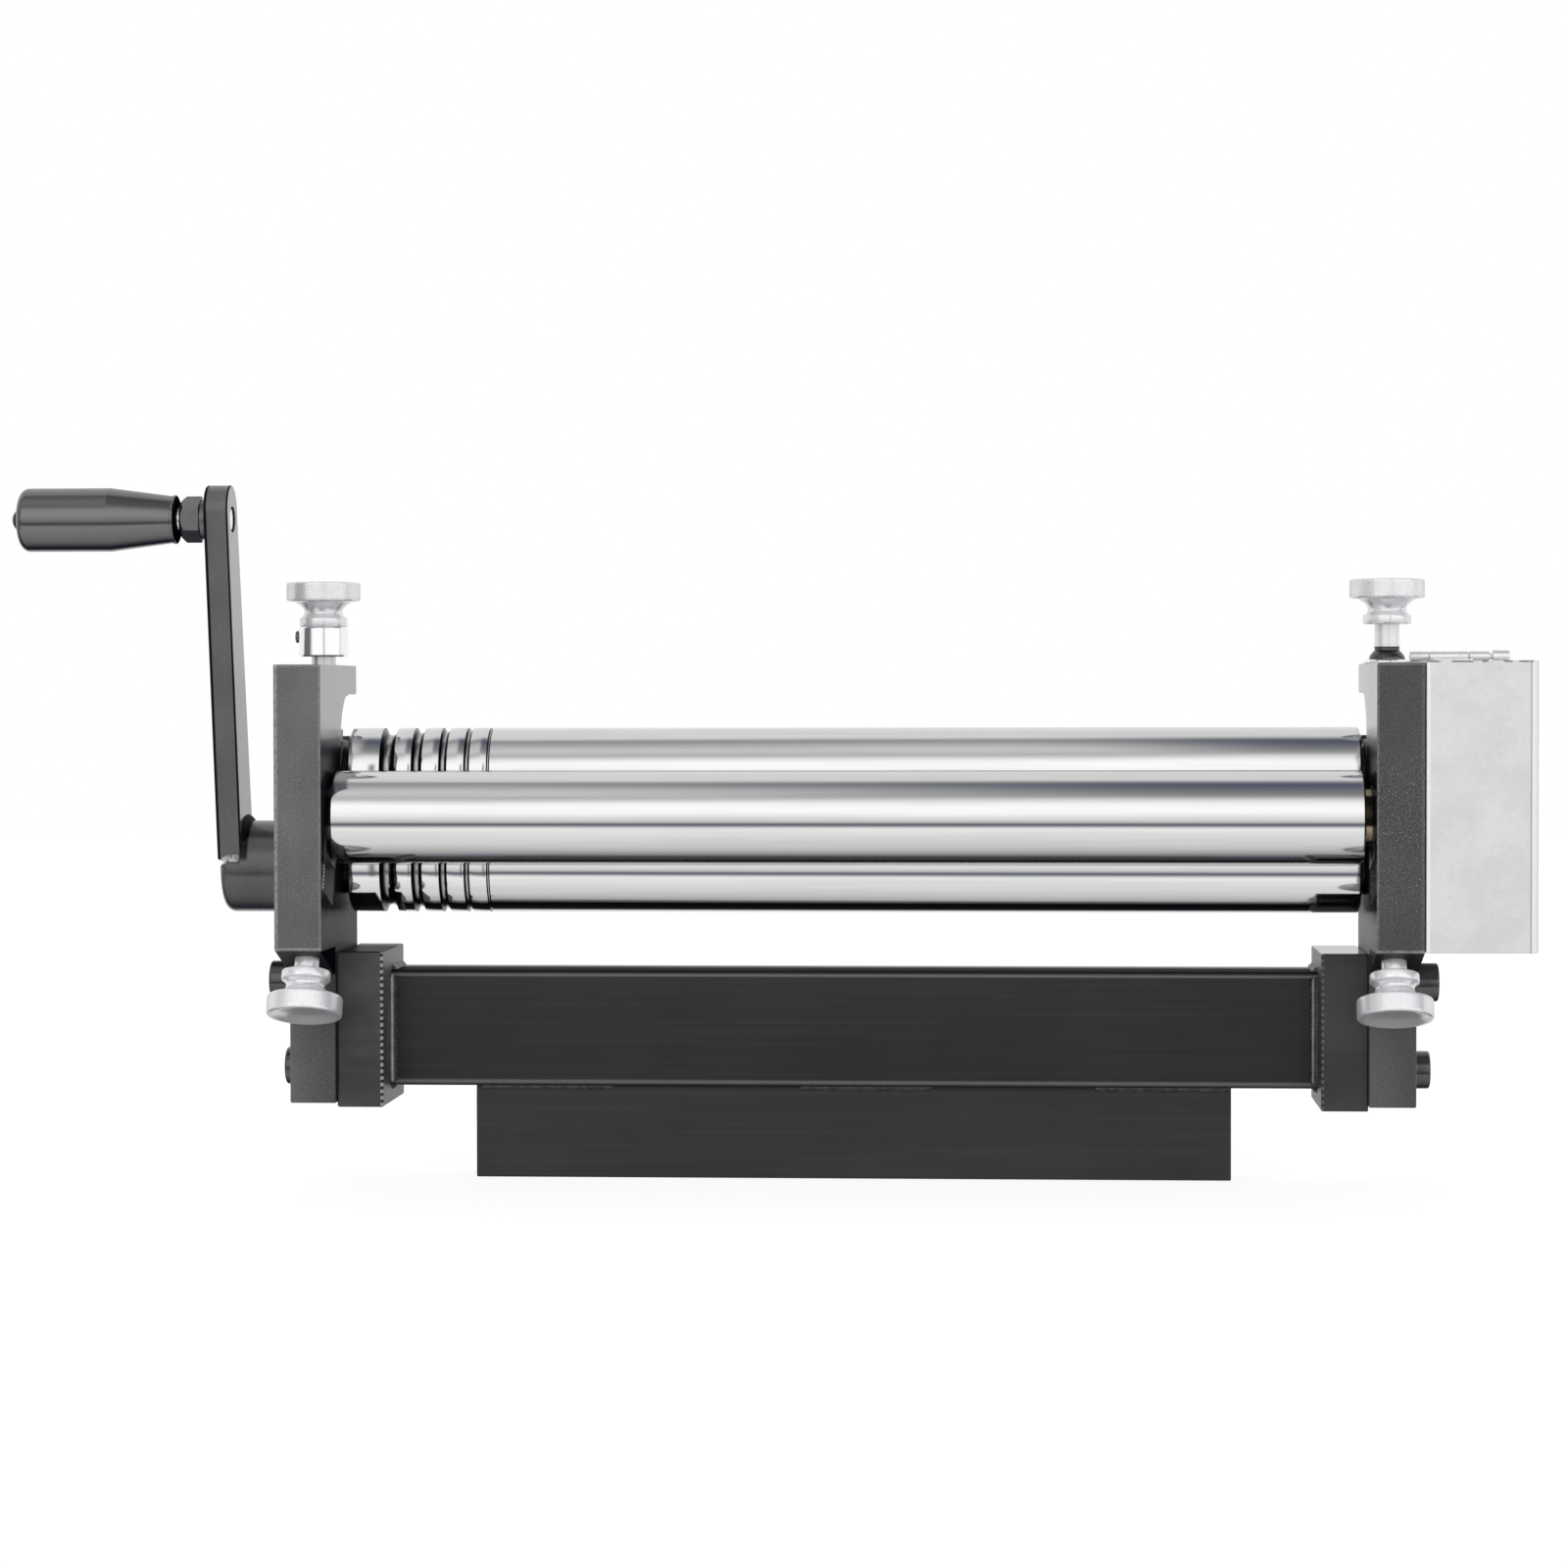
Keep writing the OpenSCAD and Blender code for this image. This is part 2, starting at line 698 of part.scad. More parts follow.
// Keyway and end thread at a gear's seat.
module gear_seat(z) {
    translate([gear_x + (gear_w - key_len) / 2, pinch_y - key_w / 2, z + journal_d / 2 - key_sink])
        cube([key_len, key_w, key_sink + overrun]);
    rod_x(end_screw_d + 2 * fit_gap, gear_x + gear_w - end_screw_grip - end_float,
          gear_x + gear_w + overrun, pinch_y, z);
}

module upper_roller() {
    color([0.72, 0.72, 0.73]) difference() {
        roller(pinch_y, upper_roller_z, pinch_shift, -clip_x - past_clip,
               gear_x + gear_w - end_float, true);
        mirror([1, 0, 0]) clip_groove(clip_x, pinch_y, upper_roller_z);
        gear_seat(upper_roller_z);
    }
}

module lower_roller() {
    color([0.72, 0.72, 0.73]) difference() {
        roller(pinch_y, lower_roller_z, pinch_shift, arm_outer_x + arm_t + end_float,
               gear_x + gear_w - end_float, true);
        gear_seat(lower_roller_z);
    }
}

module bending_roller() {
    color([0.72, 0.72, 0.73]) difference() {
        roller(bend_y, bend_z, -bend_shift, -outer_x - end_float, bend_clip_x + past_clip, false);
        clip_groove(bend_clip_x, bend_y, bend_z);
    }
}

module upper_roller_clip() {
    color([0.25, 0.25, 0.27]) on_side(-1) clip(clip_x, pinch_y, upper_roller_z);
}
module bending_roller_clip() {
    color([0.25, 0.25, 0.27]) clip(bend_clip_x, bend_y, bend_z);
}

// Gears

pitch_r = gear_teeth * gear_module / 2;
base_r = pitch_r * cos(pressure_angle);
tip_r = pitch_r + gear_module;
root_r = pitch_r - gear_clear_share * gear_module;
function involute(a) = tan(a) * 180 / PI - a;
// Half the angle that a tooth takes up at radius r.
function half_tooth(r) =
    90 / gear_teeth + involute(pressure_angle) - involute(acos(min(1, base_r / r)));
flank = concat([[root_r, half_tooth(base_r)]],
               [for (i = [0 : flank_steps]) let (r = base_r + (tip_r - base_r) * i / flank_steps)
                   [r, half_tooth(r)]]);
tooth = concat([for (p = flank) [p[0], -p[1]]], [for (i = [len(flank) - 1 : -1 : 0]) flank[i]]);

module gear_outline(turn) {
    polygon([for (k = [0 : gear_teeth - 1]) for (p = tooth)
        let (a = turn + k * 360 / gear_teeth + p[1]) [p[0] * cos(a), p[0] * sin(a)]]);
}

// turn is the angle of the first tooth, counted from +Y towards +Z.
module gear(z, turn) {
    difference() {
        along_x(gear_x, gear_w) translate([pinch_y, z]) gear_outline(turn);
        rod_x(journal_d + 2 * fit_gap, gear_x - overrun, gear_x + gear_w + overrun, pinch_y, z);
        translate([gear_x - overrun, pinch_y - key_w / 2 - fit_gap, z])
            cube([gear_w + 2 * overrun, key_w + 2 * fit_gap, journal_d / 2 + key_proud + fit_gap]);
    }
}

module upper_gear() { color([0.35, 0.35, 0.37]) gear(upper_roller_z, 180 / gear_teeth - 90); }
module lower_gear() { color([0.35, 0.35, 0.37]) gear(lower_roller_z, 90); }

module gear_key(z) {
    translate([gear_x + (gear_w - key_len) / 2, pinch_y - key_w / 2, z + journal_d / 2 - key_sink])
        cube([key_len, key_w, key_sink + key_proud]);
}

module upper_gear_key() { color([0.55, 0.55, 0.57]) gear_key(upper_roller_z); }
module lower_gear_key() { color([0.55, 0.55, 0.57]) gear_key(lower_roller_z); }

module gear_washer(z) {
    x = gear_x + gear_w;
    ring_x(washer_d, end_screw_d + 2 * fit_gap, x, x + washer_t, pinch_y, z);
}

module upper_gear_washer() { color([0.62, 0.62, 0.64]) gear_washer(upper_roller_z); }
module lower_gear_washer() { color([0.62, 0.62, 0.64]) gear_washer(lower_roller_z); }

module gear_screw(z) {
    x = gear_x + gear_w + washer_t;
    difference() {
        union() {
            rod_x(end_screw_head[0], x, x + end_screw_head[1], pinch_y, z);
            rod_x(end_screw_d, x - end_screw_grip, x + overrun, pinch_y, z);
        }
        translate([x + end_screw_head[1] - end_screw_socket_h, pinch_y, z]) rotate([0, 90, 0])
            linear_extrude(end_screw_socket_h + overrun) hexagon(end_screw_af);
    }
}

module upper_gear_screw() { color([0.14, 0.14, 0.15]) gear_screw(upper_roller_z); }
module lower_gear_screw() { color([0.14, 0.14, 0.15]) gear_screw(lower_roller_z); }

// Crank

// Frame at the crank's axis whose Z axis runs along the arm.
module arm_frame() {
    translate([0, pinch_y, lower_roller_z]) rotate([crank_lean, 0, 0]) children();
}

module crank_hub() {
    color([0.37, 0.37, 0.38]) difference() {
        rod_x(hub_d, hub_outer_x, hub_inner_x, pinch_y, lower_roller_z);
        rod_x(journal_d + 2 * fit_gap, arm_outer_x + arm_t, hub_inner_x + overrun,
              pinch_y, lower_roller_z);
        arm_frame() translate([arm_outer_x - overrun, -hub_d, arm_root])
            cube([arm_t + overrun, 2 * hub_d, hub_d]);
        translate([hub_screw_x, pinch_y + journal_d / 2 - overrun, lower_roller_z]) rotate([-90, 0, 0])
            cylinder(d = hub_screw_d + 2 * fit_gap, h = hub_d);
    }
}

module crank_arm() {
    color([0.40, 0.40, 0.41]) arm_frame() difference() {
        along_x(arm_outer_x, arm_t) {
            top = crank_r + arm_past;
            polygon([[-arm_root_w / 2, arm_root], [arm_root_w / 2, arm_root],
                     [arm_tip_w / 2, top], [-arm_tip_w / 2, top]]);
            translate([0, top]) circle(d = arm_tip_w);
        }
        rod_x(handle_hole_d, arm_outer_x - overrun, arm_outer_x + arm_t + overrun, 0, crank_r);
    }
}

// Beads where the arm is welded to the hub: round the hub at the arm's inner face, and beside its foot.
module crank_weld() {
    x = arm_outer_x + arm_t;
    leg = weld_leg * crank_leg_share;
    foot = arm_root_w / 2;
    color([0.33, 0.33, 0.34]) arm_frame() {
        intersection() {
            translate([x, 0, 0]) rotate([0, 90, 0]) difference() {
                cylinder(d1 = hub_d + 2 * leg, d2 = hub_d, h = leg);
                translate([0, 0, -overrun]) cylinder(d = hub_d, h = leg + 2 * overrun);
            }
            translate([x - overrun, -foot, 0]) cube([leg + 2 * overrun, 2 * foot, hub_d]);
        }
        for (s = [-1, 1]) along_x(hub_outer_x, x - hub_outer_x)
            polygon([[s * foot, arm_root], [s * (foot + leg), arm_root], [s * foot, arm_root + leg]]);
    }
}

module crank_hub_screw() {
    seat_y = pinch_y + journal_d / 2 + run_gap;
    color([0.14, 0.14, 0.15]) translate([hub_screw_x, seat_y, lower_roller_z]) rotate([-90, 0, 0])
        difference() {
            cylinder(d = hub_screw_d, h = hub_screw_h);
            translate([0, 0, hub_screw_h - hub_screw_socket_h])
                linear_extrude(hub_screw_socket_h + overrun) hexagon(hub_screw_af);
        }
}

module handle_washer() {
    color([0.20, 0.20, 0.21])
        ring_x(lock_washer_d, handle_hole_d, arm_outer_x - lock_washer_t, arm_outer_x,
               handle_y, handle_z);
}

// Hexagon nut with its corners turned off towards the grip.
module handle_nut() {
    x = arm_outer_x - lock_washer_t;
    corner_d = nut_af / cos(30);
    color([0.36, 0.36, 0.38]) translate([x, handle_y, handle_z]) rotate([0, -90, 0]) difference() {
        intersection() {
            linear_extrude(nut_h) hexagon(nut_af);
            union() {
                cylinder(d = corner_d, h = nut_h - nut_chamfer_h);
                translate([0, 0, nut_h - nut_chamfer_h])
                    cylinder(d1 = corner_d, d2 = nut_af * nut_face_share, h = nut_chamfer_h);
            }
        }
        translate([0, 0, -overrun]) cylinder(d = handle_hole_d, h = nut_h + 2 * overrun);
    }
}

// Rod that the grip turns on: it ends in the arm, and its head lies in the grip's outer end.
module handle_spindle() {
    start_x = arm_outer_x + arm_t - spindle_sink;
    rod_len = start_x - (grip_x - grip_len + spindle_head_h);
    color([0.60, 0.60, 0.62]) translate([start_x, handle_y, handle_z]) rotate([0, -90, 0]) {
        cylinder(d = screw_d, h = rod_len);
        translate([0, 0, rod_len]) cylinder(d = spindle_head_d, h = spindle_head_h);
        translate([0, 0, rod_len + spindle_head_h]) rotate_extrude() intersection() {
            ball_r = (dome_r * dome_r + dome_h * dome_h) / (2 * dome_h);
            translate([0, dome_h - ball_r]) circle(ball_r);
            square([dome_r, dome_h]);
        }
    }
}

// Grip: a round outer part with a rounded end, then a taper that ends in a small ring.
module handle_grip() {
    r = grip_d / 2;
    round_r = grip_round_r;
    ring_r = grip_end_d / 2 + grip_ring_proud;
    sink = spindle_head_h + 2 * tip_gap;
    outline = concat(
        [[0, 0], [ring_r, 0], [ring_r, grip_ring_h / 2], [grip_end_d / 2, grip_ring_h],
         [r, grip_len - grip_round_len]],
        [for (i = [0 : grip_arc_steps]) let (a = 90 * i / grip_arc_steps)
            [r - round_r + round_r * cos(a), grip_len - round_r + round_r * sin(a)]],
        [[0, grip_len]]);
    color([0.09, 0.09, 0.10]) translate([grip_x, handle_y, handle_z]) rotate([0, -90, 0]) difference() {
        rotate_extrude() polygon(outline);
        translate([0, 0, -overrun]) cylinder(d = grip_bore_d, h = grip_len + 2 * overrun);
        translate([0, 0, grip_len - sink])
            cylinder(d = spindle_head_d + 2 * tip_gap, h = sink + overrun);
    }
}

// Adjusting screws

// Thumb screw along Z. z = 0 is the collar's face towards the machine, and the head lies above.
module thumb_screw(stem_len) {
    head_r = head_d / 2;
    collar_r = collar_d / 2;
    waist_r = waist_d / 2;
    head_z = collar_h + neck_h;
    waist_z = collar_h + neck_h * waist_height_share;
    flare_r = (collar_r - waist_r) * flare_share;
    outline = concat(
        [[0, 0], [collar_r - collar_edge, 0], [collar_r, collar_edge],
         [collar_r, collar_h - collar_edge], [collar_r - collar_edge, collar_h]],
        [for (i = [0 : curve_steps]) let (s = i / curve_steps)
            [waist_r + flare_r * (1 - sin(90 * s)), collar_h + (waist_z - collar_h) * s]],
        [for (i = [1 : curve_steps]) let (s = i / curve_steps)
            [waist_r + (head_r * head_foot_share - waist_r) * s * s, waist_z + (head_z - waist_z) * s]],
        [[head_r - head_edge, head_z], [head_r, head_z + head_edge],
         [head_r, knob_h - head_edge], [head_r - head_edge, knob_h], [0, knob_h]]);
    rotate_extrude() polygon(outline);
    translate([0, 0, -stem_len]) cylinder(d = screw_d, h = stem_len + overrun);
    translate([0, 0, -stem_len - tip_neck_h - tip_button_h]) {
        cylinder(d = tip_button_d, h = tip_button_h);
        cylinder(d = tip_neck_d, h = tip_button_h + tip_neck_h + overrun);
    }
}

module upper_screw(side) {
    on_side(side) translate([plate_mid_x, pinch_y, plate_top_z + upper_stem_show])
        thumb_screw(plate_top_z + upper_stem_show - upper_tip_z - tip_button_h - tip_neck_h);
}

module upper_screw_left() { color([0.85, 0.85, 0.86]) upper_screw(-1); }
module upper_screw_right() { color([0.85, 0.85, 0.86]) upper_screw(1); }

module stop_collar() {
    z1 = plate_top_z + upper_stem_show;
    color([0.82, 0.82, 0.83]) translate([-plate_mid_x, pinch_y, z1 - stop_collar_h]) difference() {
        cylinder(d = stop_collar_d, h = stop_collar_h);
        translate([0, 0, -overrun])
            cylinder(d = screw_d + 2 * fit_gap, h = stop_collar_h + 2 * overrun);
        translate([0, 0, stop_grub_rise]) rotate([0, -90, 0])
            cylinder(d = stop_grub_d + 2 * fit_gap, h = stop_collar_d);
    }
}

module stop_collar_grub() {
    z = plate_top_z + upper_stem_show - stop_collar_h + stop_grub_rise;
    x = -plate_mid_x - stop_collar_d / 2 - stop_grub_proud;
    color([0.25, 0.25, 0.26]) difference() {
        rod_x(stop_grub_d, x, x + stop_grub_len, pinch_y, z);
        translate([x - overrun, pinch_y, z]) rotate([0, 90, 0])
            linear_extrude(stop_grub_len / 2 + overrun) hexagon(stop_grub_af);
    }
}

// Washer and domed lock nut on the gear side's upper screw.
module jam_washer() {
    color([0.86, 0.86, 0.87]) translate([plate_mid_x, pinch_y, plate_top_z]) difference() {
        cylinder(d = jam_washer_d, h = jam_washer_t);
        translate([0, 0, -overrun])
            cylinder(d = tapped_d + 2 * tip_gap, h = jam_washer_t + 2 * overrun);
    }
}

module jam_nut() {
    rise = jam_nut_h - jam_nut_edge;
    ball_r = (pow(jam_nut_d / 2, 2) + rise * rise) / (2 * rise);
    color([0.10, 0.10, 0.11]) translate([plate_mid_x, pinch_y, plate_top_z + jam_washer_t])
        difference() {
            intersection() {
                rotate_extrude() intersection() {
                    translate([0, jam_nut_h - ball_r]) circle(ball_r);
                    square([jam_nut_d / 2, jam_nut_h]);
                }
                linear_extrude(jam_nut_h) hexagon(jam_nut_af);
            }
            translate([0, 0, -overrun]) cylinder(d = tapped_d, h = jam_nut_h + 2 * overrun);
        }
}

module bending_screw(side) {
    collar_at = bend_to_chamfer + bend_stem_show;
    on_side(side) bend_frame() translate([bend_screw_x, bend_screw_offset, -collar_at])
        mirror([0, 0, 1]) thumb_screw(collar_at - bend_block_tail + tip_lip + tip_gap - tip_neck_h);
}

module bending_screw_left() { color([0.85, 0.85, 0.86]) bending_screw(-1); }
module bending_screw_right() { color([0.85, 0.85, 0.86]) bending_screw(1); }

// Guard

// Plan of the guard, drawn in by inset on its front and outer sides.
module guard_plan(inset, past) {
    r = guard_corner_r - inset;
    x0 = guard_x0 - past;
    x1 = guard_x1 - inset;
    y0 = plate_front_y + inset;
    y1 = panel_y - guard_gap + past;
    translate([x0, y0]) square([x1 - r - x0, y1 - y0]);
    translate([x1 - r - overrun, y0 + r]) square([r + overrun, y1 - y0 - r]);
    translate([x1 - r, y0 + r]) circle(r);
}

// Fixed box of the guard, with tabs inside it that are screwed to the side plate.
module guard_cover() {
    inside_z = guard_z0 + guard_t;
    color([0.80, 0.80, 0.81]) difference() {
        union() {
            difference() {
                translate([0, 0, guard_z0]) linear_extrude(guard_h) guard_plan(0, 0);
                translate([0, 0, inside_z])
                    linear_extrude(guard_h - 2 * guard_t) guard_plan(guard_t, overrun);
            }
            for (tab = [[tab_ys[0], guard_z1 - tab_h], [tab_ys[1], guard_z0]])
                translate([guard_x0, tab[0] - tab_len / 2, tab[1]]) cube([guard_t, tab_len, tab_h]);
        }
        for (p = tab_places())
            rod_x(tab_screw_d + 2 * slide_gap, outer_x, guard_x0 + 2 * guard_t, p[0], p[1]);
    }
}

// Middles of the screws through the guard's tabs, as depth and height.
function tab_places() = [[tab_ys[0], guard_z1 - tab_inset], [tab_ys[1], guard_z0 + tab_inset]];

// Door at the guard's rear, hinged at its top.
module guard_door() {
    z0 = guard_z0 + guard_gap;
    color([0.74, 0.74, 0.75]) translate([guard_x0, panel_y, z0])
        cube([guard_x1 - guard_x0, guard_t, guard_z1 - guard_t - guard_gap - z0]);
}

module guard_screws() {
    x = guard_x0 + guard_t;
    color([0.66, 0.66, 0.68]) for (p = tab_places()) difference() {
        union() {
            rod_x(tab_screw_head[0], x, x + tab_screw_head[1], p[0], p[1]);
            rod_x(tab_screw_d, outer_x - tab_screw_grip + end_float, x + overrun, p[0], p[1]);
        }
        translate([x + tab_screw_head[1] / 2, p[0] - tab_screw_head[0], p[1] - tab_screw_slot / 2])
            cube([tab_screw_head[1], 2 * tab_screw_head[0], tab_screw_slot]);
    }
}

// Hinge of the guard

module knuckle(i) {
    ring_x(barrel_d, pin_d + 2 * run_gap, hinge_x[i] + knuckle_gap, hinge_x[i + 1] - knuckle_gap,
           hinge_y, hinge_z);
}

module hinge_top_leaf() {
    x0 = hinge_x[1] + knuckle_gap;
    len = hinge_x[2] - hinge_x[1] - 2 * knuckle_gap;
    color([0.76, 0.76, 0.77]) difference() {
        union() {
            knuckle(1);
            translate([x0, hinge_y - leaf_reach, guard_z1]) cube([len, leaf_reach, leaf_t]);
        }
        rod_x(pin_d + 2 * run_gap, hinge_x[0] - overrun, hinge_x[3] + overrun, hinge_y, hinge_z);
        for (x = hinge_rivet_xs())
            translate([x, hinge_y - leaf_reach + rivet_inset, guard_z1 - overrun])
                cylinder(d = rivet_d + 2 * fit_gap, h = 2 * overrun + leaf_t);
    }
}

// Strip of the door's leaf over the knuckles i to j, between two distances below the pin.
module door_leaf_strip(i, j, near, far) {
    translate([hinge_x[i] + knuckle_gap, plate_rear_y, hinge_z - far])
        cube([hinge_x[j] - hinge_x[i] - 2 * knuckle_gap, leaf_t, far - near]);
}

module hinge_door_leaf() {
    color([0.76, 0.76, 0.77]) difference() {
        union() {
            for (i = [0, 2]) {
                knuckle(i);
                door_leaf_strip(i, i + 1, 0, leaf_finger_reach);
            }
            door_leaf_strip(0, 3, leaf_finger_reach, leaf_reach);
        }
        rod_x(pin_d + 2 * run_gap, hinge_x[0] - overrun, hinge_x[3] + overrun, hinge_y, hinge_z);
    }
}

function hinge_rivet_xs() = [for (s = [-1, 1]) (hinge_x[1] + hinge_x[2]) / 2 + s * rivet_inset];

module hinge_top_rivets() {
    color([0.70, 0.70, 0.71]) for (x = hinge_rivet_xs())
        translate([x, hinge_y - leaf_reach + rivet_inset, guard_z1]) cylinder(d = rivet_d, h = leaf_t);
}

module hinge_door_rivets() {
    color([0.70, 0.70, 0.71]) for (x = hinge_rivet_xs())
        translate([x, plate_rear_y + leaf_t, hinge_z - leaf_reach + rivet_inset]) rotate([-90, 0, 0])
            cylinder(d = rivet_d, h = rivet_h);
}

module hinge_pin() {
    color([0.62, 0.62, 0.64]) {
        rod_x(pin_d, hinge_x[0], pin_head_x + pin_head_len, hinge_y, hinge_z);
        rod_x(pin_head_d, pin_head_x, pin_head_x + pin_head_len, hinge_y, hinge_z);
    }
}

left_side_plate();
right_side_plate();
left_end_block();
right_end_block();
base_beam();
vise_bar();
beam_welds();
bar_welds();
cap_screws();
lower_bush_left();
lower_bush_right();
jam_nut();
jam_washer();
upper_block_left();
upper_block_right();
upper_bush_left();
upper_bush_right();
bending_block_left();
bending_block_right();
bending_bush_left();
bending_bush_right();
upper_roller();
lower_roller();
bending_roller();
upper_roller_clip();
bending_roller_clip();
upper_gear();
lower_gear();
upper_gear_key();
lower_gear_key();
upper_gear_washer();
lower_gear_washer();
upper_gear_screw();
lower_gear_screw();
crank_hub();
crank_arm();
crank_hub_screw();
crank_weld();
handle_spindle();
handle_nut();
handle_washer();
handle_grip();
upper_screw_left();
upper_screw_right();
stop_collar();
stop_collar_grub();
bending_screw_left();
bending_screw_right();
guard_cover();
guard_door();
guard_screws();
hinge_top_leaf();
hinge_door_leaf();
hinge_pin();
hinge_top_rivets();
hinge_door_rivets();
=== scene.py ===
"""Visual model of a slip roll machine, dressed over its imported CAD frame.

Sizes are in millimetres, as in the part's source, and MM turns them to Blender's metres when a
mesh is written. X runs along the rollers from the crank to the gears, Y to the rear and Z up.
"""
import logging
import math
from dataclasses import dataclass, field, replace
from enum import Enum
from typing import Callable, Optional, Sequence, Union

import bmesh
import bpy
import numpy as np
from mathutils import Matrix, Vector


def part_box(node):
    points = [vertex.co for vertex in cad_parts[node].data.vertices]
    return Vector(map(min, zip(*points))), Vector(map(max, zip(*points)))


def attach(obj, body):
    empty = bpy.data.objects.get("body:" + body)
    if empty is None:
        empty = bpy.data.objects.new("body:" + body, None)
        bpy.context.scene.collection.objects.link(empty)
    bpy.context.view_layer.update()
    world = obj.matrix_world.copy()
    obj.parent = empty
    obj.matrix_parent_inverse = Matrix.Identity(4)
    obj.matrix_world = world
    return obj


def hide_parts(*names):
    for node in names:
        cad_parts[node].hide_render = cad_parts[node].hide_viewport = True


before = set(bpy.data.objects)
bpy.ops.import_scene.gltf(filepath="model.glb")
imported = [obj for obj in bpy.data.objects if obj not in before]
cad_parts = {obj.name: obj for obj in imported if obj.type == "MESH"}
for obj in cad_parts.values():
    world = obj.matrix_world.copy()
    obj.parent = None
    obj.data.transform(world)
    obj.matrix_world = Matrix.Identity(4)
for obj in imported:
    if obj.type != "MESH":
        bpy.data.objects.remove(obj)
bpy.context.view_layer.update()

LOG = logging.getLogger("slip_roll")
MM = 0.001
MERGE = 1e-7
FLAT_TURN = 0.4
ROUNDED_TURN = 35.0

Triple = tuple[float, float, float]
Span = tuple[float, float]
Zone = tuple[Span, Span]


def linear(code: str, alpha: float = 1.0) -> tuple[float, float, float, float]:
    """A colour written as six hex digits, turned to the linear values that shaders take.

    Args:
        code: Six hex digits, red first, as a display shows the colour.
        alpha: Fourth value of the result.

    Returns:
        Red, green, blue and alpha.
    """
    shown = [int(code[i:i + 2], 16) / 255 for i in (0, 2, 4)]
    values = [v / 12.92 if v <= 0.04045 else ((v + 0.055) / 1.055) ** 2.4 for v in shown]
    return (values[0], values[1], values[2], alpha)


# Shader graphs

class Amount:
    """A number in a shader graph. Python's operators on it add Math nodes."""

    def __init__(self, graph: "Graph", out: bpy.types.NodeSocket) -> None:
        """Keeps the graph and the socket that gives the number."""
        self.graph = graph
        self.out = out

    def math(self, operation: str, *values: "Number", clamp: bool = False) -> "Amount":
        """Adds one Math node.

        Args:
            operation: Blender's name of the operation.
            values: What goes into the node's sockets, in order.
            clamp: Whether the result is kept between 0 and 1.

        Returns:
            The node's result.
        """
        node = self.graph.add("ShaderNodeMath", {"operation": operation, "use_clamp": clamp},
                              dict(enumerate(values)))
        return Amount(self.graph, node.outputs[0])

    def __add__(self, other: "Number") -> "Amount":
        """This plus another."""
        return self.math("ADD", self, other)

    def __sub__(self, other: "Number") -> "Amount":
        """This less another."""
        return self.math("SUBTRACT", self, other)

    def __rsub__(self, other: "Number") -> "Amount":
        """Another less this."""
        return self.math("SUBTRACT", other, self)

    def __mul__(self, other: "Number") -> "Amount":
        """This times another."""
        return self.math("MULTIPLY", self, other)

    def __truediv__(self, other: "Number") -> "Amount":
        """This over another."""
        return self.math("DIVIDE", self, other)

    def __abs__(self) -> "Amount":
        """This without its sign."""
        return self.math("ABSOLUTE", self)

    __radd__ = __add__
    __rmul__ = __mul__

    def rise(self, low: float, high: float) -> "Amount":
        """Goes smoothly from 0 at low to 1 at high. With low above high it falls.

        Args:
            low: Value at which the result is 0.
            high: Value at which the result is 1.

        Returns:
            The eased value, kept between 0 and 1.
        """
        node = self.graph.add("ShaderNodeMapRange", {"interpolation_type": "SMOOTHSTEP"},
                              {"Value": self, "From Min": low, "From Max": high})
        return Amount(self.graph, node.outputs[0])

    def near(self, place: float, width: float) -> "Amount":
        """Is 1 at a place and falls smoothly to 0 at the given distance from it."""
        return abs(self - place).rise(width, 0.0)

    def within(self, low: Span, high: Span) -> "Amount":
        """Is 1 between two eased edges, each given from where it is 0 to where it is 1."""
        return self.rise(*high) * self.rise(*low)


Number = Union[float, int, Amount]
Colour = Union[Sequence[float], bpy.types.NodeSocket]


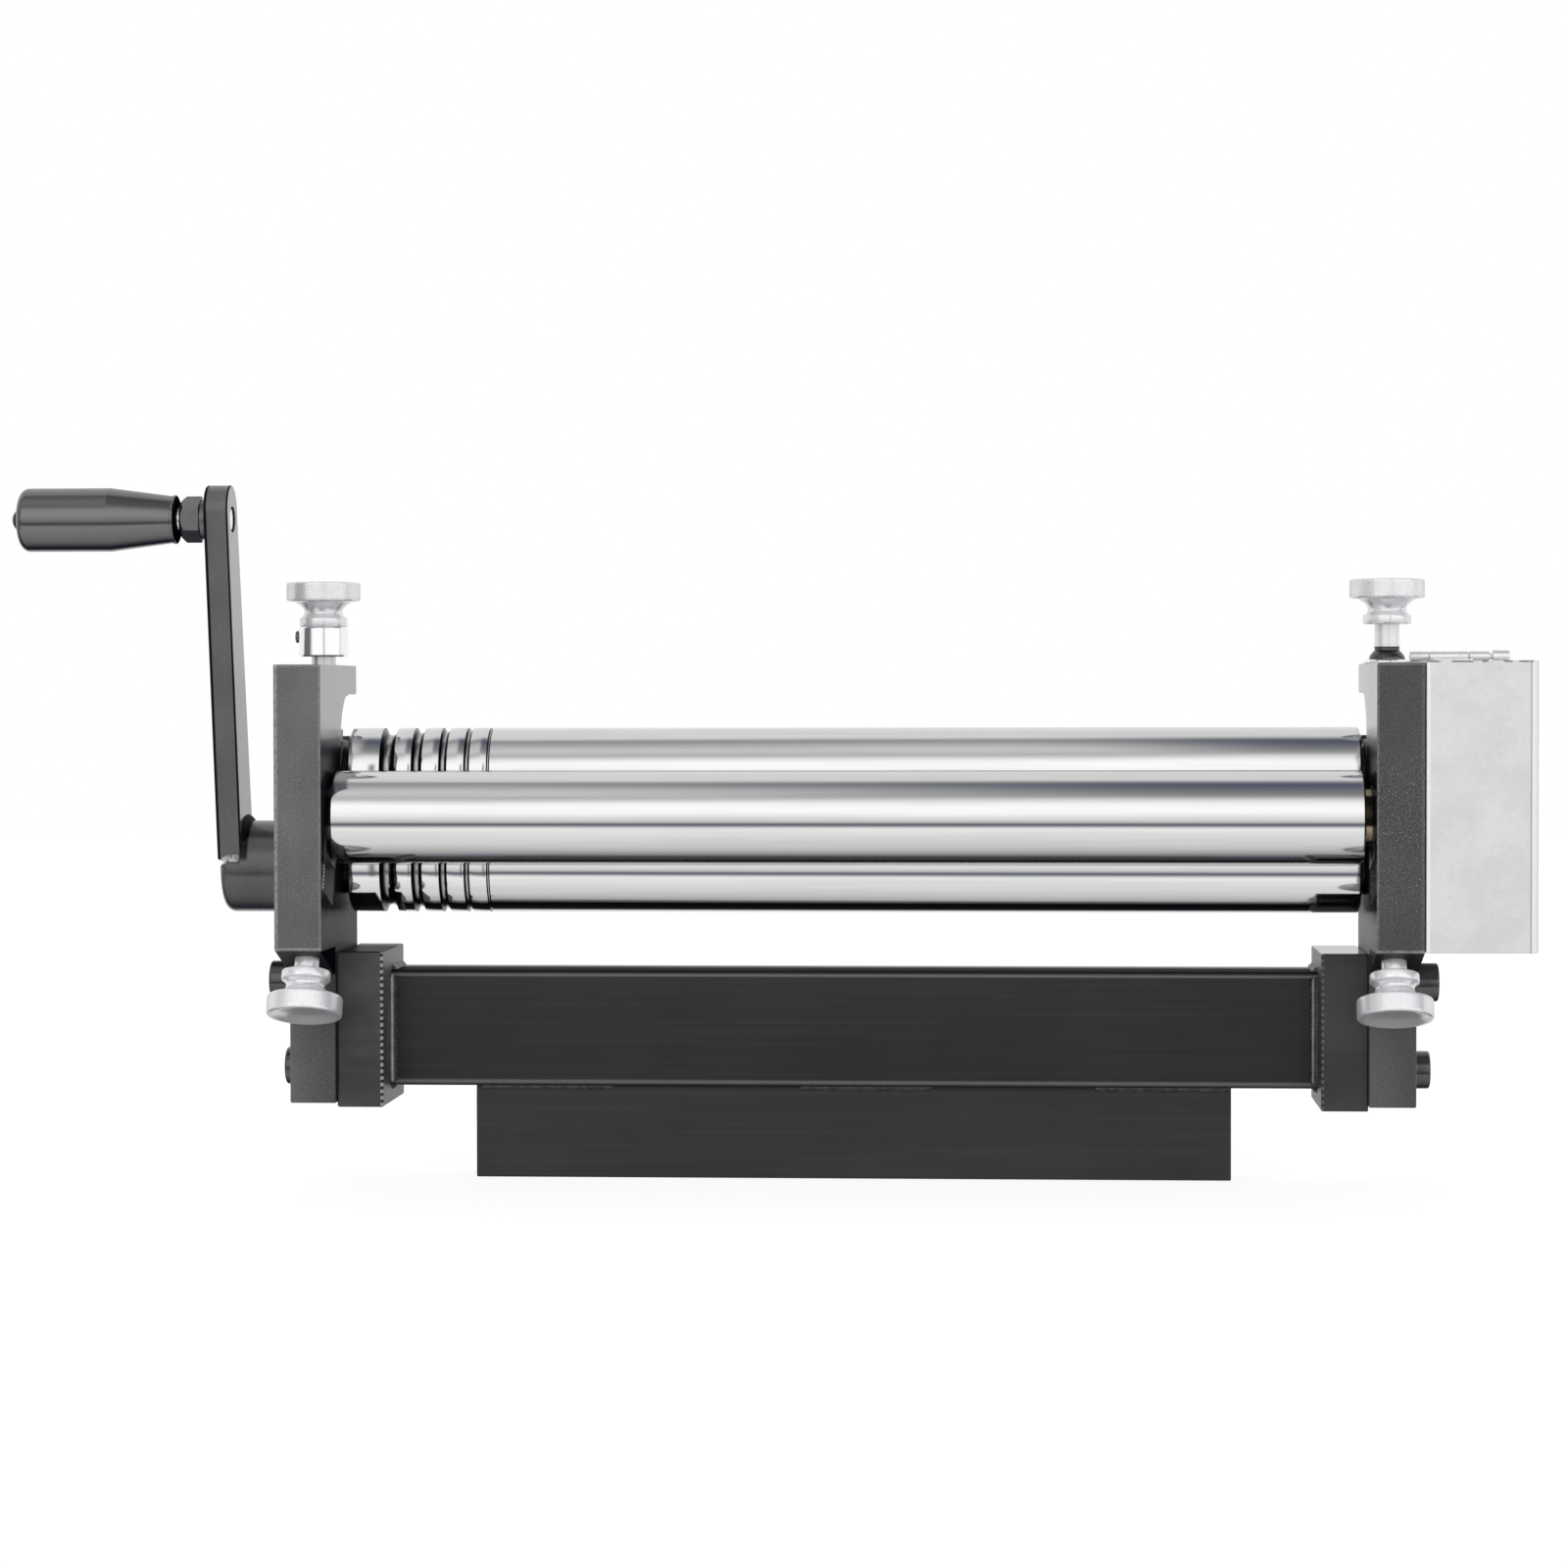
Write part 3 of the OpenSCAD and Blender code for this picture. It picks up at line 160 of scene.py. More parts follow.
class Graph:
    """Builds the nodes of one material or of the world."""

    def __init__(self, tree: bpy.types.NodeTree) -> None:
        """Empties the node tree."""
        self.tree = tree
        tree.nodes.clear()

    def add(self, kind: str, settings: Optional[dict] = None,
            inputs: Optional[dict] = None) -> bpy.types.Node:
        """Adds a node of any type.

        Args:
            kind: The node's type.
            settings: Properties that are set before the sockets. "stops" fills a colour ramp.
            inputs: Values, colours or links for the sockets, by name or number.

        Returns:
            The new node.
        """
        node = self.tree.nodes.new(kind)
        for key, value in (settings or {}).items():
            if key == "stops":
                self._fill_ramp(node.color_ramp, value)
            else:
                setattr(node, key, value)
        for key, value in (inputs or {}).items():
            source = value.out if isinstance(value, Amount) else value
            if isinstance(source, bpy.types.NodeSocket):
                self.tree.links.new(source, node.inputs[key])
            else:
                node.inputs[key].default_value = source
        return node

    @staticmethod
    def _fill_ramp(ramp: bpy.types.ColorRamp, stops: Sequence[tuple[float, Sequence[float]]]) -> None:
        """Sets a ramp's stops, which have to be in order.

        Args:
            ramp: The ramp.
            stops: Place and colour of each stop.
        """
        while len(ramp.elements) > 1:
            ramp.elements.remove(ramp.elements[-1])
        ramp.elements[0].position = stops[0][0]
        ramp.elements[0].color = stops[0][1]
        for position, colour in stops[1:]:
            ramp.elements.new(position).color = colour

    def place(self) -> bpy.types.NodeSocket:
        """Object coordinates in millimetres."""
        here = self.add("ShaderNodeTexCoord").outputs["Object"]
        return self.vector("SCALE", here, Scale=1 / MM)

    def vector(self, operation: str, *values: Colour, **named: float) -> bpy.types.NodeSocket:
        """Adds one Vector Math node and gives its vector.

        Args:
            operation: Blender's name of the operation.
            values: What goes into the node's sockets, in order.
            named: What goes into sockets by name.

        Returns:
            The node's vector.
        """
        inputs: dict = dict(enumerate(values))
        inputs.update(named)
        return self.add("ShaderNodeVectorMath", {"operation": operation}, inputs).outputs[0]

    def axes(self, vector: bpy.types.NodeSocket) -> tuple[Amount, Amount, Amount]:
        """The three parts of a vector."""
        node = self.add("ShaderNodeSeparateXYZ", None, {0: vector})
        return tuple(Amount(self, out) for out in node.outputs)

    def noise(self, place: bpy.types.NodeSocket, size: float, stretch: Triple = (1, 1, 1),
              detail: float = 2.0, rough: float = 0.5) -> Amount:
        """Smooth noise around one half.

        Args:
            place: Where it is looked up, in millimetres.
            size: Size of its features in millimetres.
            stretch: How much longer the features are along each axis.
            detail: Number of finer layers.
            rough: Share that each finer layer keeps.

        Returns:
            The noise's value.
        """
        scaled = self.vector("MULTIPLY", place, [1 / (size * s) for s in stretch])
        node = self.add("ShaderNodeTexNoise", None, {
            "Vector": scaled, "Scale": 1.0, "Detail": detail, "Roughness": rough})
        return Amount(self, node.outputs[0])

    def cells(self, place: bpy.types.NodeSocket, size: float) -> Amount:
        """Distance from the middle of the nearest random cell, in cells.

        Args:
            place: Where it is looked up, in millimetres.
            size: Size of a cell in millimetres.

        Returns:
            The distance.
        """
        scaled = self.vector("SCALE", place, Scale=1 / size)
        node = self.add("ShaderNodeTexVoronoi", None, {"Vector": scaled, "Scale": 1.0})
        return Amount(self, node.outputs["Distance"])

    def stored(self, name: str) -> Amount:
        """A number that a piece keeps at its points; zero on pieces that keep none."""
        return Amount(self, self.add("ShaderNodeAttribute", {"attribute_name": name}).outputs["Fac"])

    def mix(self, share: Number, first: Colour, second: Colour) -> bpy.types.NodeSocket:
        """Goes from one colour to another as the share goes from 0 to 1."""
        node = self.add("ShaderNodeMix", {"data_type": "RGBA"}, {0: share, 6: first, 7: second})
        return node.outputs[2]

    def finish(self, colour: Colour, rough: Number, metal: Number = 0.0, height: Optional[Amount] = None,
               depth: float = 0.02, fixed: Optional[dict] = None, dull: Optional[Amount] = None) -> None:
        """Adds the shader that all finishes share, and the output.

        Args:
            colour: Base colour.
            rough: Roughness.
            metal: How metallic the surface is.
            height: Relief from 0 to 1, if there is one.
            depth: Height of the relief in millimetres.
            fixed: Other sockets of the shader, each with one value for the whole surface.
            dull: Share of a matt black that hides the gloss, if there is any.
        """
        inputs = {"Base Color": colour, "Roughness": rough, "Metallic": metal, **(fixed or {})}
        if height is not None:
            bump = self.add("ShaderNodeBump", None, {"Height": height, "Distance": depth * MM,
                                                     "Strength": 1.0})
            inputs["Normal"] = bump.outputs[0]
        shader = self.add("ShaderNodeBsdfPrincipled", None, inputs)
        if dull is not None:
            black = self.add("ShaderNodeBsdfDiffuse", None, {"Color": linear("0a0c12")})
            shader = self.add("ShaderNodeMixShader", None, {0: dull, 1: shader.outputs[0],
                                                            2: black.outputs[0]})
        self.add("ShaderNodeOutputMaterial", None, {"Surface": shader.outputs[0]})


# Finishes

class Lay(Enum):
    """Direction in which a steel surface was worked."""

    TURNED = "turned"
    GROUND = "ground"
    BLASTED = "blasted"


@dataclass(frozen=True)
class Finish:
    """Common start of the finishes: the material's name and the record's slot."""

    name: str
    slot: str

    def material(self) -> bpy.types.Material:
        """The finish's material, made at its first use.

        Returns:
            The material.
        """
        found = bpy.data.materials.get(self.name)
        if found is None:
            found = bpy.data.materials.new(self.name)
            found.use_nodes = True
            self.build(Graph(found.node_tree))
        return found

    def build(self, graph: Graph) -> None:
        """Adds the finish's nodes.

        Args:
            graph: The material's graph.
        """
        raise NotImplementedError


@dataclass(frozen=True)
class PlatePaint(Finish):
    """Satin grey of the side plates: cloudy, with fine light specks, and a painted highlight with some wear
    along the front face's edges.

    The slope under the front face is painted shade, nearly black. The plate's inner side is lightened
    near the top by a painted reflection. Round the rollers' ends it is dark from a greasy film and from
    painted shade. Below the rollers it takes its own grey, which is painted shade on the left plate and a
    little lighter on the right. The plate's lower part takes the foot grey, which is painted shade on the
    left plate and lighter on the right. A zone's edges are places in millimetres, each from where the
    zone starts to where it is full.
    """

    tone: str = "69696a"
    deep: str = "535355"
    speck: str = "9c9c9c"
    specks: float = 0.25
    busy: float = 0.35
    # The edge grey is a painted highlight, with some wear, along the front face's edges; the two shares
    # after it set it at the inner and outer vertical edges.
    edge: str = "c4c4c4"
    inner_edge_light: float = 0.25
    outer_edge_light: float = 0.5
    # The foot grey is the plate's lower part: painted shade on the left plate, lighter on the right. The
    # share named lower sets the foot band, and the matt black below the rollers on the inner side.
    foot: str = "3c3c3e"
    # This light grey is a painted reflection on the inner side near the top; the share after it sets how
    # much.
    smooth: str = "9a9a9a"
    painted_reflection_share: float = 0.45
    # Grey of the inner side below the rollers: painted shade on the left plate, a little lighter on the
    # right.
    under: str = "242426"
    lower: float = 0.45
    # Near-black of a greasy film round the rollers' ends, and of the painted shade on the slope and at the
    # inner side's foot.
    grease_and_shade: str = "101319"
    rough: float = 0.24
    foot_z: Zone = ((76.0, 78.0), (98.0, 84.0))
    low_z: Span = (76.0, 70.0)
    low_x: Span = (185.0, 166.0)
    slope_z: Zone = ((67.6, 68.4), (77.6, 77.1))
    slope_y: Span = (-33.2, -34.0)
    inside_x: Span = (166.5, 166.1)
    inside_y: Span = (-59.7, -59.2)
    shade_z: Span = (78.0, 72.0)
    shade_y: Span = (-28.0, -34.0)
    painted_reflection_z: Span = (134.0, 148.0)
    under_z: Span = (92.0, 84.0)
    grease_and_shade_z: Zone = ((84.0, 91.0), (147.0, 139.0))
    middle_z: Zone = ((80.0, 100.0), (146.0, 134.0))
    front_y: Span = (-59.1, -59.6)
    face_end_z: float = 78.0

    def build(self, graph: Graph) -> None:
        """Adds the finish's nodes.

        Args:
            graph: The material's graph.
        """
        place = graph.place()
        x, y, z = graph.axes(place)
        wide = abs(x)
        cloud = graph.noise(place, 22, (1, 1, 1.6), 3)
        grain = graph.noise(place, 0.55, detail=1)
        flecks = graph.noise(place, 0.5, detail=1).rise(0.6, 0.72)
        body = graph.mix(cloud.rise(0.3, 0.7), linear(self.deep), linear(self.tone))
        # The plate's lower part takes the foot grey: painted shade on the left plate, lighter on the right.
        body = graph.mix(z.within(*self.foot_z) * self.lower, body, linear(self.foot))
        low = z.rise(*self.low_z) * wide.rise(*self.low_x)
        body = graph.mix(low, body, linear(self.foot))
        # Painted shade: the slope under the front face goes nearly black, and matt through dull below.
        slope = z.within(*self.slope_z) * y.rise(*self.slope_y)
        inside = wide.rise(*self.inside_x) * y.rise(*self.inside_y)
        # Painted shade at the inner side's foot, towards the front.
        shade = inside * z.rise(*self.shade_z) * y.rise(*self.shade_y)
        body = graph.mix(slope * 0.92 + shade * 0.8, body, linear(self.grease_and_shade))
        # Painted reflection: the inner side is lighter near the top.
        smooth = inside * z.rise(*self.painted_reflection_z) * self.painted_reflection_share
        body = graph.mix(smooth, body, linear(self.smooth))
        # The inner side below the rollers takes its own grey: painted shade on the left plate, matt there
        # through dull below.
        under = inside * z.rise(*self.under_z)
        body = graph.mix(under * 0.85, body, linear(self.under))
        # A greasy film and painted shade round the rollers' ends: dark, and matt through dull below.
        greasy_shade = inside * z.within(*self.grease_and_shade_z)
        body = graph.mix(greasy_shade * (0.8 + cloud * 0.2), body, linear(self.grease_and_shade))
        middle_share = z.within(*self.middle_z) * self.busy + self.specks
        body = graph.mix(grain.rise(0.35, 0.75) * 0.18, body, linear(self.speck))
        body = graph.mix(flecks * middle_share * (1 - greasy_shade), body, linear(self.speck))
        # Painted highlight along the front face's edges, with some wear, broken up by noise.
        front = y.rise(*self.front_y)
        edge_highlight = (wide.near(LAYOUT.inner_x + 0.3, 0.6) * self.inner_edge_light
                  + wide.near(LAYOUT.outer_x - 0.7, 0.9) * self.outer_edge_light
                  + z.near(self.face_end_z, 0.7) * 0.5 + z.near(LAYOUT.top_z - 0.5, 0.6) * 0.3) * front
        broken = graph.noise(place, 1.1, detail=2).rise(0.3, 0.6)
        body = graph.mix(edge_highlight * (0.35 + broken * 0.65), body, linear(self.edge))
        rough = (self.rough + cloud * 0.1 + grain * 0.06) - inside * 0.1 + under * 0.25
        # dull lays matt black over the painted shade of the slope and the rollers' ends and, on the left
        # plate, over the zone below the rollers.
        graph.finish(body, rough, height=grain * 0.7 + flecks * 0.3, depth=0.01,
                     fixed={"Specular IOR Level": 0.5},
                     dull=greasy_shade * (0.65 + cloud * 0.3) + slope * 0.6 + under * self.lower)


@dataclass(frozen=True)
class CrankPaint(Finish):
    """Smooth dark grey gloss of the crank, with painted shade, black and matt, along the arm's two front
    edges, and a painted lighter side face.
    """

    tone: str = "6a6b6d"
    deep: str = "5f6062"
    # Painted shade, black and matt: lines along the arm's front edges, or a zone on the hub beside the arm
    # above a height.
    painted_shade: str = "0e0e0f"
    painted_shade_xs: Span = (206.4, 199.3)
    painted_shade_widths: Span = (0.8, 0.4)
    painted_shade_z: float = 0.0
    # Painted light: the arm's inner side face, from the given x on, is lighter.
    side: str = "98989a"
    lit_side_x: float = -199.1
    fleck: str = "8a8a8c"
    rough: float = 0.2
    level: float = 0.5

    def build(self, graph: Graph) -> None:
        """Adds the finish's nodes.

        Args:
            graph: The material's graph.
        """
        place = graph.place()
        x, _, z = graph.axes(place)
        cloud = graph.noise(place, 12, (1, 1, 2), 3)
        grain = graph.noise(place, 0.6, detail=2)
        body = graph.mix(cloud.rise(0.3, 0.7), linear(self.deep), linear(self.tone))
        body = graph.mix(grain.rise(0.5, 0.8) * 0.12, body, linear(self.fleck))
        # Painted light on the arm's inner side face.
        side = x.rise(self.lit_side_x, self.lit_side_x + 0.15)
        body = graph.mix(side * 0.6, body, linear(self.side))
        # Painted shade: black, matt lines along the arm's edges, or a zone on the hub beside the arm.
        painted_shade = (abs(x).near(self.painted_shade_xs[0], self.painted_shade_widths[0])
                + abs(x).near(self.painted_shade_xs[1], self.painted_shade_widths[1])).rise(0.0, 0.6)
        painted_shade = painted_shade * z.rise(self.painted_shade_z - 1, self.painted_shade_z + 1)
        body = graph.mix(painted_shade, body, linear(self.painted_shade))
        rough = self.rough + cloud * 0.08 + grain * 0.05 - side * 0.12
        graph.finish(body, rough, height=grain * 0.5 + cloud * 0.5, depth=0.008,
                     fixed={"Specular IOR Level": self.level}, dull=painted_shade * 0.8)


@dataclass(frozen=True)
class FramePaint(Finish):
    """Black paint of the base, with long streaks along the beam and a painted highlight along the beam's
    front top and bottom edges.

    A block's edge can carry bright stitches: a rough, burred edge with painted glints on its dots. What
    lies above top_z is painted shade, nearly black, and matt towards the front.
    """

    tone: str = "1b1b1d"
    pale: str = "2e2e31"
    streaks: float = 1.0
    clouds: float = 0.35
    # A painted highlight along the front top and bottom edges: its grey, the front's depth, heights, reaches
    # and shares follow.
    edge_highlight_grey: str = "8c8c8e"
    edge_highlight_y: float = -13.6
    edge_highlight_z: Span = (67.0, 32.0)
    edge_highlight_reach: Span = (0.8, 1.1)
    edge_highlight_share: Span = (0.6, 0.6)
    stitch_x: float = 0.0
    stitch_y: float = 0.0
    stitch_reach: Span = (1.3, 1.5)
    # The stitch grey is painted glints on the dots of a rough, burred block edge; the grey after it is the
    # dark line they lie on.
    stitch: str = "bdbdbd"
    stitch_base: str = "0b0b0c"
    stitch_share: float = 1.0
    pitch: float = 2.15
    wobble: float = 2.4
    matt: float = 0.0
    # Painted shade on the top faces above top_z: matt black towards the front by dull_top over dull_y, and
    # the near-black top grey by top_share.
    dull_top: float = 0.85
    top: str = "0c0f15"
    top_z: float = 68.2
    top_share: float = 0.9
    dull_y: Span = (6.0, -2.0)

    def build(self, graph: Graph) -> None:
        """Adds the finish's nodes.

        Args:
            graph: The material's graph.
        """
        place = graph.place()
        x, y, z = graph.axes(place)
        cloud = graph.noise(place, 30, (1.5, 1, 1), 3)
        fine = graph.noise(place, 0.5, detail=1)
        long = graph.noise(place, 1.6, (60, 1, 1), 3, 0.6)
        share = (cloud.rise(0.3, 0.7) * self.clouds + long.rise(0.4, 0.75) * (0.4 * self.streaks)
                 + fine * 0.12)
        body = graph.mix(share, linear(self.tone), linear(self.pale))
        # Painted highlight along the front edges of the beam.
        front = y.rise(self.edge_highlight_y + 0.4, self.edge_highlight_y - 0.6)
        upper, lower = (z.near(at, reach) * share for at, reach, share
                        in zip(self.edge_highlight_z, self.edge_highlight_reach, self.edge_highlight_share))
        edge_highlight = (upper + lower) * front
        body = graph.mix(edge_highlight * (0.7 + fine * 0.5), body, linear(self.edge_highlight_grey))
        # Stitches: a rough, burred edge, with painted glints on its dots.
        if self.stitch_x:
            wave = z * (2 * math.pi / self.pitch) + fine * self.wobble
            dots = wave.math("SINE", wave).rise(-0.3, 0.3)
            reach_x, reach_y = self.stitch_reach
            line = abs(x).near(self.stitch_x, reach_x) * y.near(self.stitch_y, reach_y)
            seam = line.rise(0.1, 0.3) * self.stitch_share
            body = graph.mix(seam, body, linear(self.stitch_base))
            body = graph.mix(seam * dots, body, linear(self.stitch))
        # Painted shade on the top faces: nearly black, and matt towards the front.
        above = z.rise(self.top_z - 0.3, self.top_z)
        body = graph.mix(above * self.top_share, body, linear(self.top))
        rough = (0.3 + cloud * 0.12 + fine * 0.06) + above * self.matt
        graph.finish(body, rough, height=fine * 0.5 + long * 0.5, depth=0.012,
                     fixed={"Specular IOR Level": 0.32},
                     dull=above * y.rise(*self.dull_y) * self.dull_top)


@dataclass(frozen=True)
class Bead(Finish):
    """Weld bead: dark under the paint, with scuffed bare crests and a painted highlight, a bright line along
    its top. Above bright_z it is painted shade, dark and matt.
    """

    tone: str = "2a2a2c"
    crest: str = "a8a8a6"
    bright: float = 0.5
    # The bright line along a bead's top is a painted highlight.
    ridge_highlight: str = "c8c8c6"
    ridge_xs: tuple[float, ...] = ()
    ridge_y: float = -15.9
    ridge_reach: float = 0.6
    metal: float = 0.3
    # Above this height the bead is painted shade: no bright crests, and matt black.
    bright_z: float = 500.0
    cover: float = 0.5

    def build(self, graph: Graph) -> None:
        """Adds the finish's nodes.

        Args:
            graph: The material's graph.
        """
        place = graph.place()
        grain = graph.noise(place, 0.7, detail=3, rough=0.6)
        patch = graph.noise(place, 2.6, detail=1)
        x, y, z = graph.axes(place)
        share = (grain * 0.6 + patch * 0.4).rise(0.9 - self.cover, 1.1 - self.cover) * self.bright
        # Painted shade above bright_z: the crests go dark and the bead matt.
        share = share * z.rise(self.bright_z + 1, self.bright_z - 1)
        dull = z.rise(self.bright_z - 1, self.bright_z + 1) * 0.75
        body = graph.mix(share, linear(self.tone), linear(self.crest))
        # Painted highlight: a bright line along the bead's top at each given place.
        for ridge_x in self.ridge_xs:
            ridge_highlight = x.near(ridge_x, self.ridge_reach) * y.rise(self.ridge_y, self.ridge_y - 0.4)
            body = graph.mix(ridge_highlight * (0.3 + patch * 0.6), body, linear(self.ridge_highlight))
        graph.finish(body, 0.32 + grain * 0.2, share * self.metal, height=grain, depth=0.05, dull=dull)


@dataclass(frozen=True)
class Chrome(Finish):
    """Ground and chromed roller steel: a mirror with a faint lengthwise haze and painted shade on the
    grooves' walls.
    """

    tone: str = "d2d2d2"
    haze: str = "c6c7c9"
    # Near-black painted shade on the grooves' walls.
    wall: str = "1a1b1f"
    rough: float = 0.06

    def build(self, graph: Graph) -> None:
        """Adds the finish's nodes.

        Args:
            graph: The material's graph.
        """
        place = graph.place()
        haze = graph.noise(place, 2.4, (30, 1, 1), 2)
        fine = graph.noise(place, 0.5, (8, 1, 1), 1)
        # Painted shade, stored at the points: the grooves' walls on the rollers.
        wall = graph.stored("wall")
        body = graph.mix(haze.rise(0.35, 0.7) * 0.5, linear(self.tone), linear(self.haze))
        body = graph.mix(wall, body, linear(self.wall))
        graph.finish(body, self.rough + haze * 0.03 + wall * 0.2, 1.0, height=fine, depth=0.0002)


@dataclass(frozen=True)
class Steel(Finish):
    """Bare or plated metal with the fine marks of the tool that worked it."""

    tone: str = "cfd0d2"
    deep: str = "a9abaf"
    rough: float = 0.16
    lay: Lay = Lay.TURNED
    marks: float = 0.5
    relief: float = 0.004
    metal: float = 1.0
    # Dark grey of the painted shade that a piece keeps at its points, on the spindle inside the grip.
    wall: str = "2a2a2c"

    def build(self, graph: Graph) -> None:
        """Adds the finish's nodes.

        Args:
            graph: The material's graph.
        """
        place = graph.place()
        stretch = {Lay.TURNED: (1, 40, 40), Lay.GROUND: (40, 1, 1), Lay.BLASTED: (1, 1, 1)}[self.lay]
        marks = graph.noise(place, 0.35 if self.lay is not Lay.BLASTED else 0.5, stretch, 2, 0.6)
        cloud = graph.noise(place, 14, detail=3)
        share = marks.rise(0.3, 0.7) * self.marks + cloud.rise(0.35, 0.7) * (1 - self.marks) * 0.5
        body = graph.mix(share, linear(self.tone), linear(self.deep))
        # Painted shade where the piece keeps it.
        body = graph.mix(graph.stored("wall"), body, linear(self.wall))
        rough = self.rough * (0.75 + marks * 0.35 + cloud * 0.25)
        graph.finish(body, rough, self.metal, height=marks, depth=self.relief)


@dataclass(frozen=True)
class BlackOxide(Finish):
    """Oiled black oxide of screws, clips and nuts."""

    tone: str = "4e4e50"
    pale: str = "6e6e70"
    rough: float = 0.14

    def build(self, graph: Graph) -> None:
        """Adds the finish's nodes.

        Args:
            graph: The material's graph.
        """
        place = graph.place()
        grain = graph.noise(place, 0.4, detail=2)
        cloud = graph.noise(place, 4, detail=2)
        body = graph.mix(grain.rise(0.45, 0.8) * 0.5 + cloud.rise(0.5, 0.8) * 0.25,
                         linear(self.tone), linear(self.pale))
        graph.finish(body, self.rough + cloud * 0.1, 0.9, height=grain, depth=0.006)


@dataclass(frozen=True)
class Bronze(Finish):
    """Oil-filled sintered bronze with open pores, dark partly from grease and partly as painted shade, with
    bands of painted highlight on a piece that has them.
    """

    # The dark tone is partly grease and partly painted shade on bushes that sit in shadow.
    tone: str = "3c3224"
    deep: str = "16130f"
    # Bands of painted highlight: their grey, then each band's height and half width.
    band_highlight: str = "d2c2a6"
    band_highlight_zs: tuple[Span, ...] = ()

    def build(self, graph: Graph) -> None:
        """Adds the finish's nodes.

        Args:
            graph: The material's graph.
        """
        place = graph.place()
        pores = graph.cells(place, 0.35).rise(0.28, 0.1)
        cloud = graph.noise(place, 2.2, detail=3)
        body = graph.mix(cloud.rise(0.42, 0.6) * 0.8 + pores * 0.2, linear(self.tone), linear(self.deep))
        z = graph.axes(place)[2]
        # Bands of painted highlight on the bush.
        for middle_z, half in self.band_highlight_zs:
            body = graph.mix(z.near(middle_z, half).rise(0.1, 0.5), body, linear(self.band_highlight))
        graph.finish(body, 0.3 + pores * 0.3, 0.85, height=1 - pores, depth=0.02)


@dataclass(frozen=True)
class GripPlastic(Finish):
    """Glossy black moulded plastic with faint flow marks and fine scratches."""

    tone: str = "0d0d0f"
    pale: str = "262629"

    def build(self, graph: Graph) -> None:
        """Adds the finish's nodes.

        Args:
            graph: The material's graph.
        """
        place = graph.place()
        flow = graph.noise(place, 9, (3, 1, 1), 2)
        scratch = graph.noise(place, 0.25, (30, 1, 1), 1).rise(0.62, 0.8)
        body = graph.mix(flow.rise(0.4, 0.8) * 0.3 + scratch * 0.15, linear(self.tone), linear(self.pale))
        # The inner end face against the nut is painted shade: matt black through dull.
        graph.finish(body, 0.1 + flow * 0.06 + scratch * 0.06, height=flow * 0.8 + scratch * 0.2,
                     depth=0.015, fixed={"Specular IOR Level": 1.0, "IOR": 1.72},
                     dull=graph.stored("wall"))


@dataclass(frozen=True)
class GuardPaint(Finish):
    """Silver hammer-grey paint of the guard: mottled, with small darker pits, painted highlights along the
    left and right folds, painted shade lines beside the right fold, and dashes of painted shade along
    the top's front edge.

    The folds and lines are given inwards from the guard's left, right, top and front faces.
    """

    tone: str = "f0f0f0"
    deep: str = "dededf"
    pit: str = "b4b4b6"
    # The pale grey is painted highlight on the folds, and the dark grey is painted shade in lines and
    # dashes.
    pale: str = "ffffff"
    dark: str = "5a5a5c"
    left_x: float = 181.3
    right_x: float = 216.1
    top_z: float = 168.8
    left_fold: Span = (1.3, 1.1)
    right_fold: Span = (2.3, 2.1)
    fold_line: Triple = (2.5, 0.35, 0.6)
    edge_line: Triple = (0.15, 0.3, 0.5)
    lip_down: Span = (0.7, 0.4)
    lip_back: Span = (1.2, 0.5)

    def build(self, graph: Graph) -> None:
        """Adds the finish's nodes.

        Args:
            graph: The material's graph.
        """
        place = graph.place()
        x, y, z = graph.axes(place)
        cloud = graph.noise(place, 16, detail=4, rough=0.6)
        mottle = graph.noise(place, 1.1, detail=3, rough=0.6)
        pits = graph.noise(place, 0.45, detail=1).rise(0.64, 0.76)
        body = graph.mix(cloud.rise(0.35, 0.65) * 0.5 + mottle.rise(0.4, 0.7) * 0.2,
                         linear(self.tone), linear(self.deep))
        body = graph.mix(pits * 0.25, body, linear(self.pit))
        # Painted highlights on the left and right folds, and painted shade lines beside the right one.
        right = x.rise(*(self.right_x - inwards for inwards in self.right_fold))
        left = x.rise(*(self.left_x + inwards for inwards in self.left_fold))
        body = graph.mix(right + left, body, linear(self.pale))
        fold, edge = (x.near(self.right_x - inwards, reach) * share
                      for inwards, reach, share in (self.fold_line, self.edge_line))
        body = graph.mix(fold + edge, body, linear(self.dark))
        # Dashes of painted shade along the top's front edge.
        painted_shade = graph.noise(place, 5, detail=1).rise(0.46, 0.52)
        lip = (z.rise(*(self.top_z - down for down in self.lip_down))
               * y.rise(*(LAYOUT.front_y + back for back in self.lip_back)))
        body = graph.mix(lip * painted_shade * 0.8, body, linear(self.dark))
        graph.finish(body, 0.42 + mottle * 0.16, 0.2, height=mottle * 0.7 - pits * 0.3, depth=0.02)


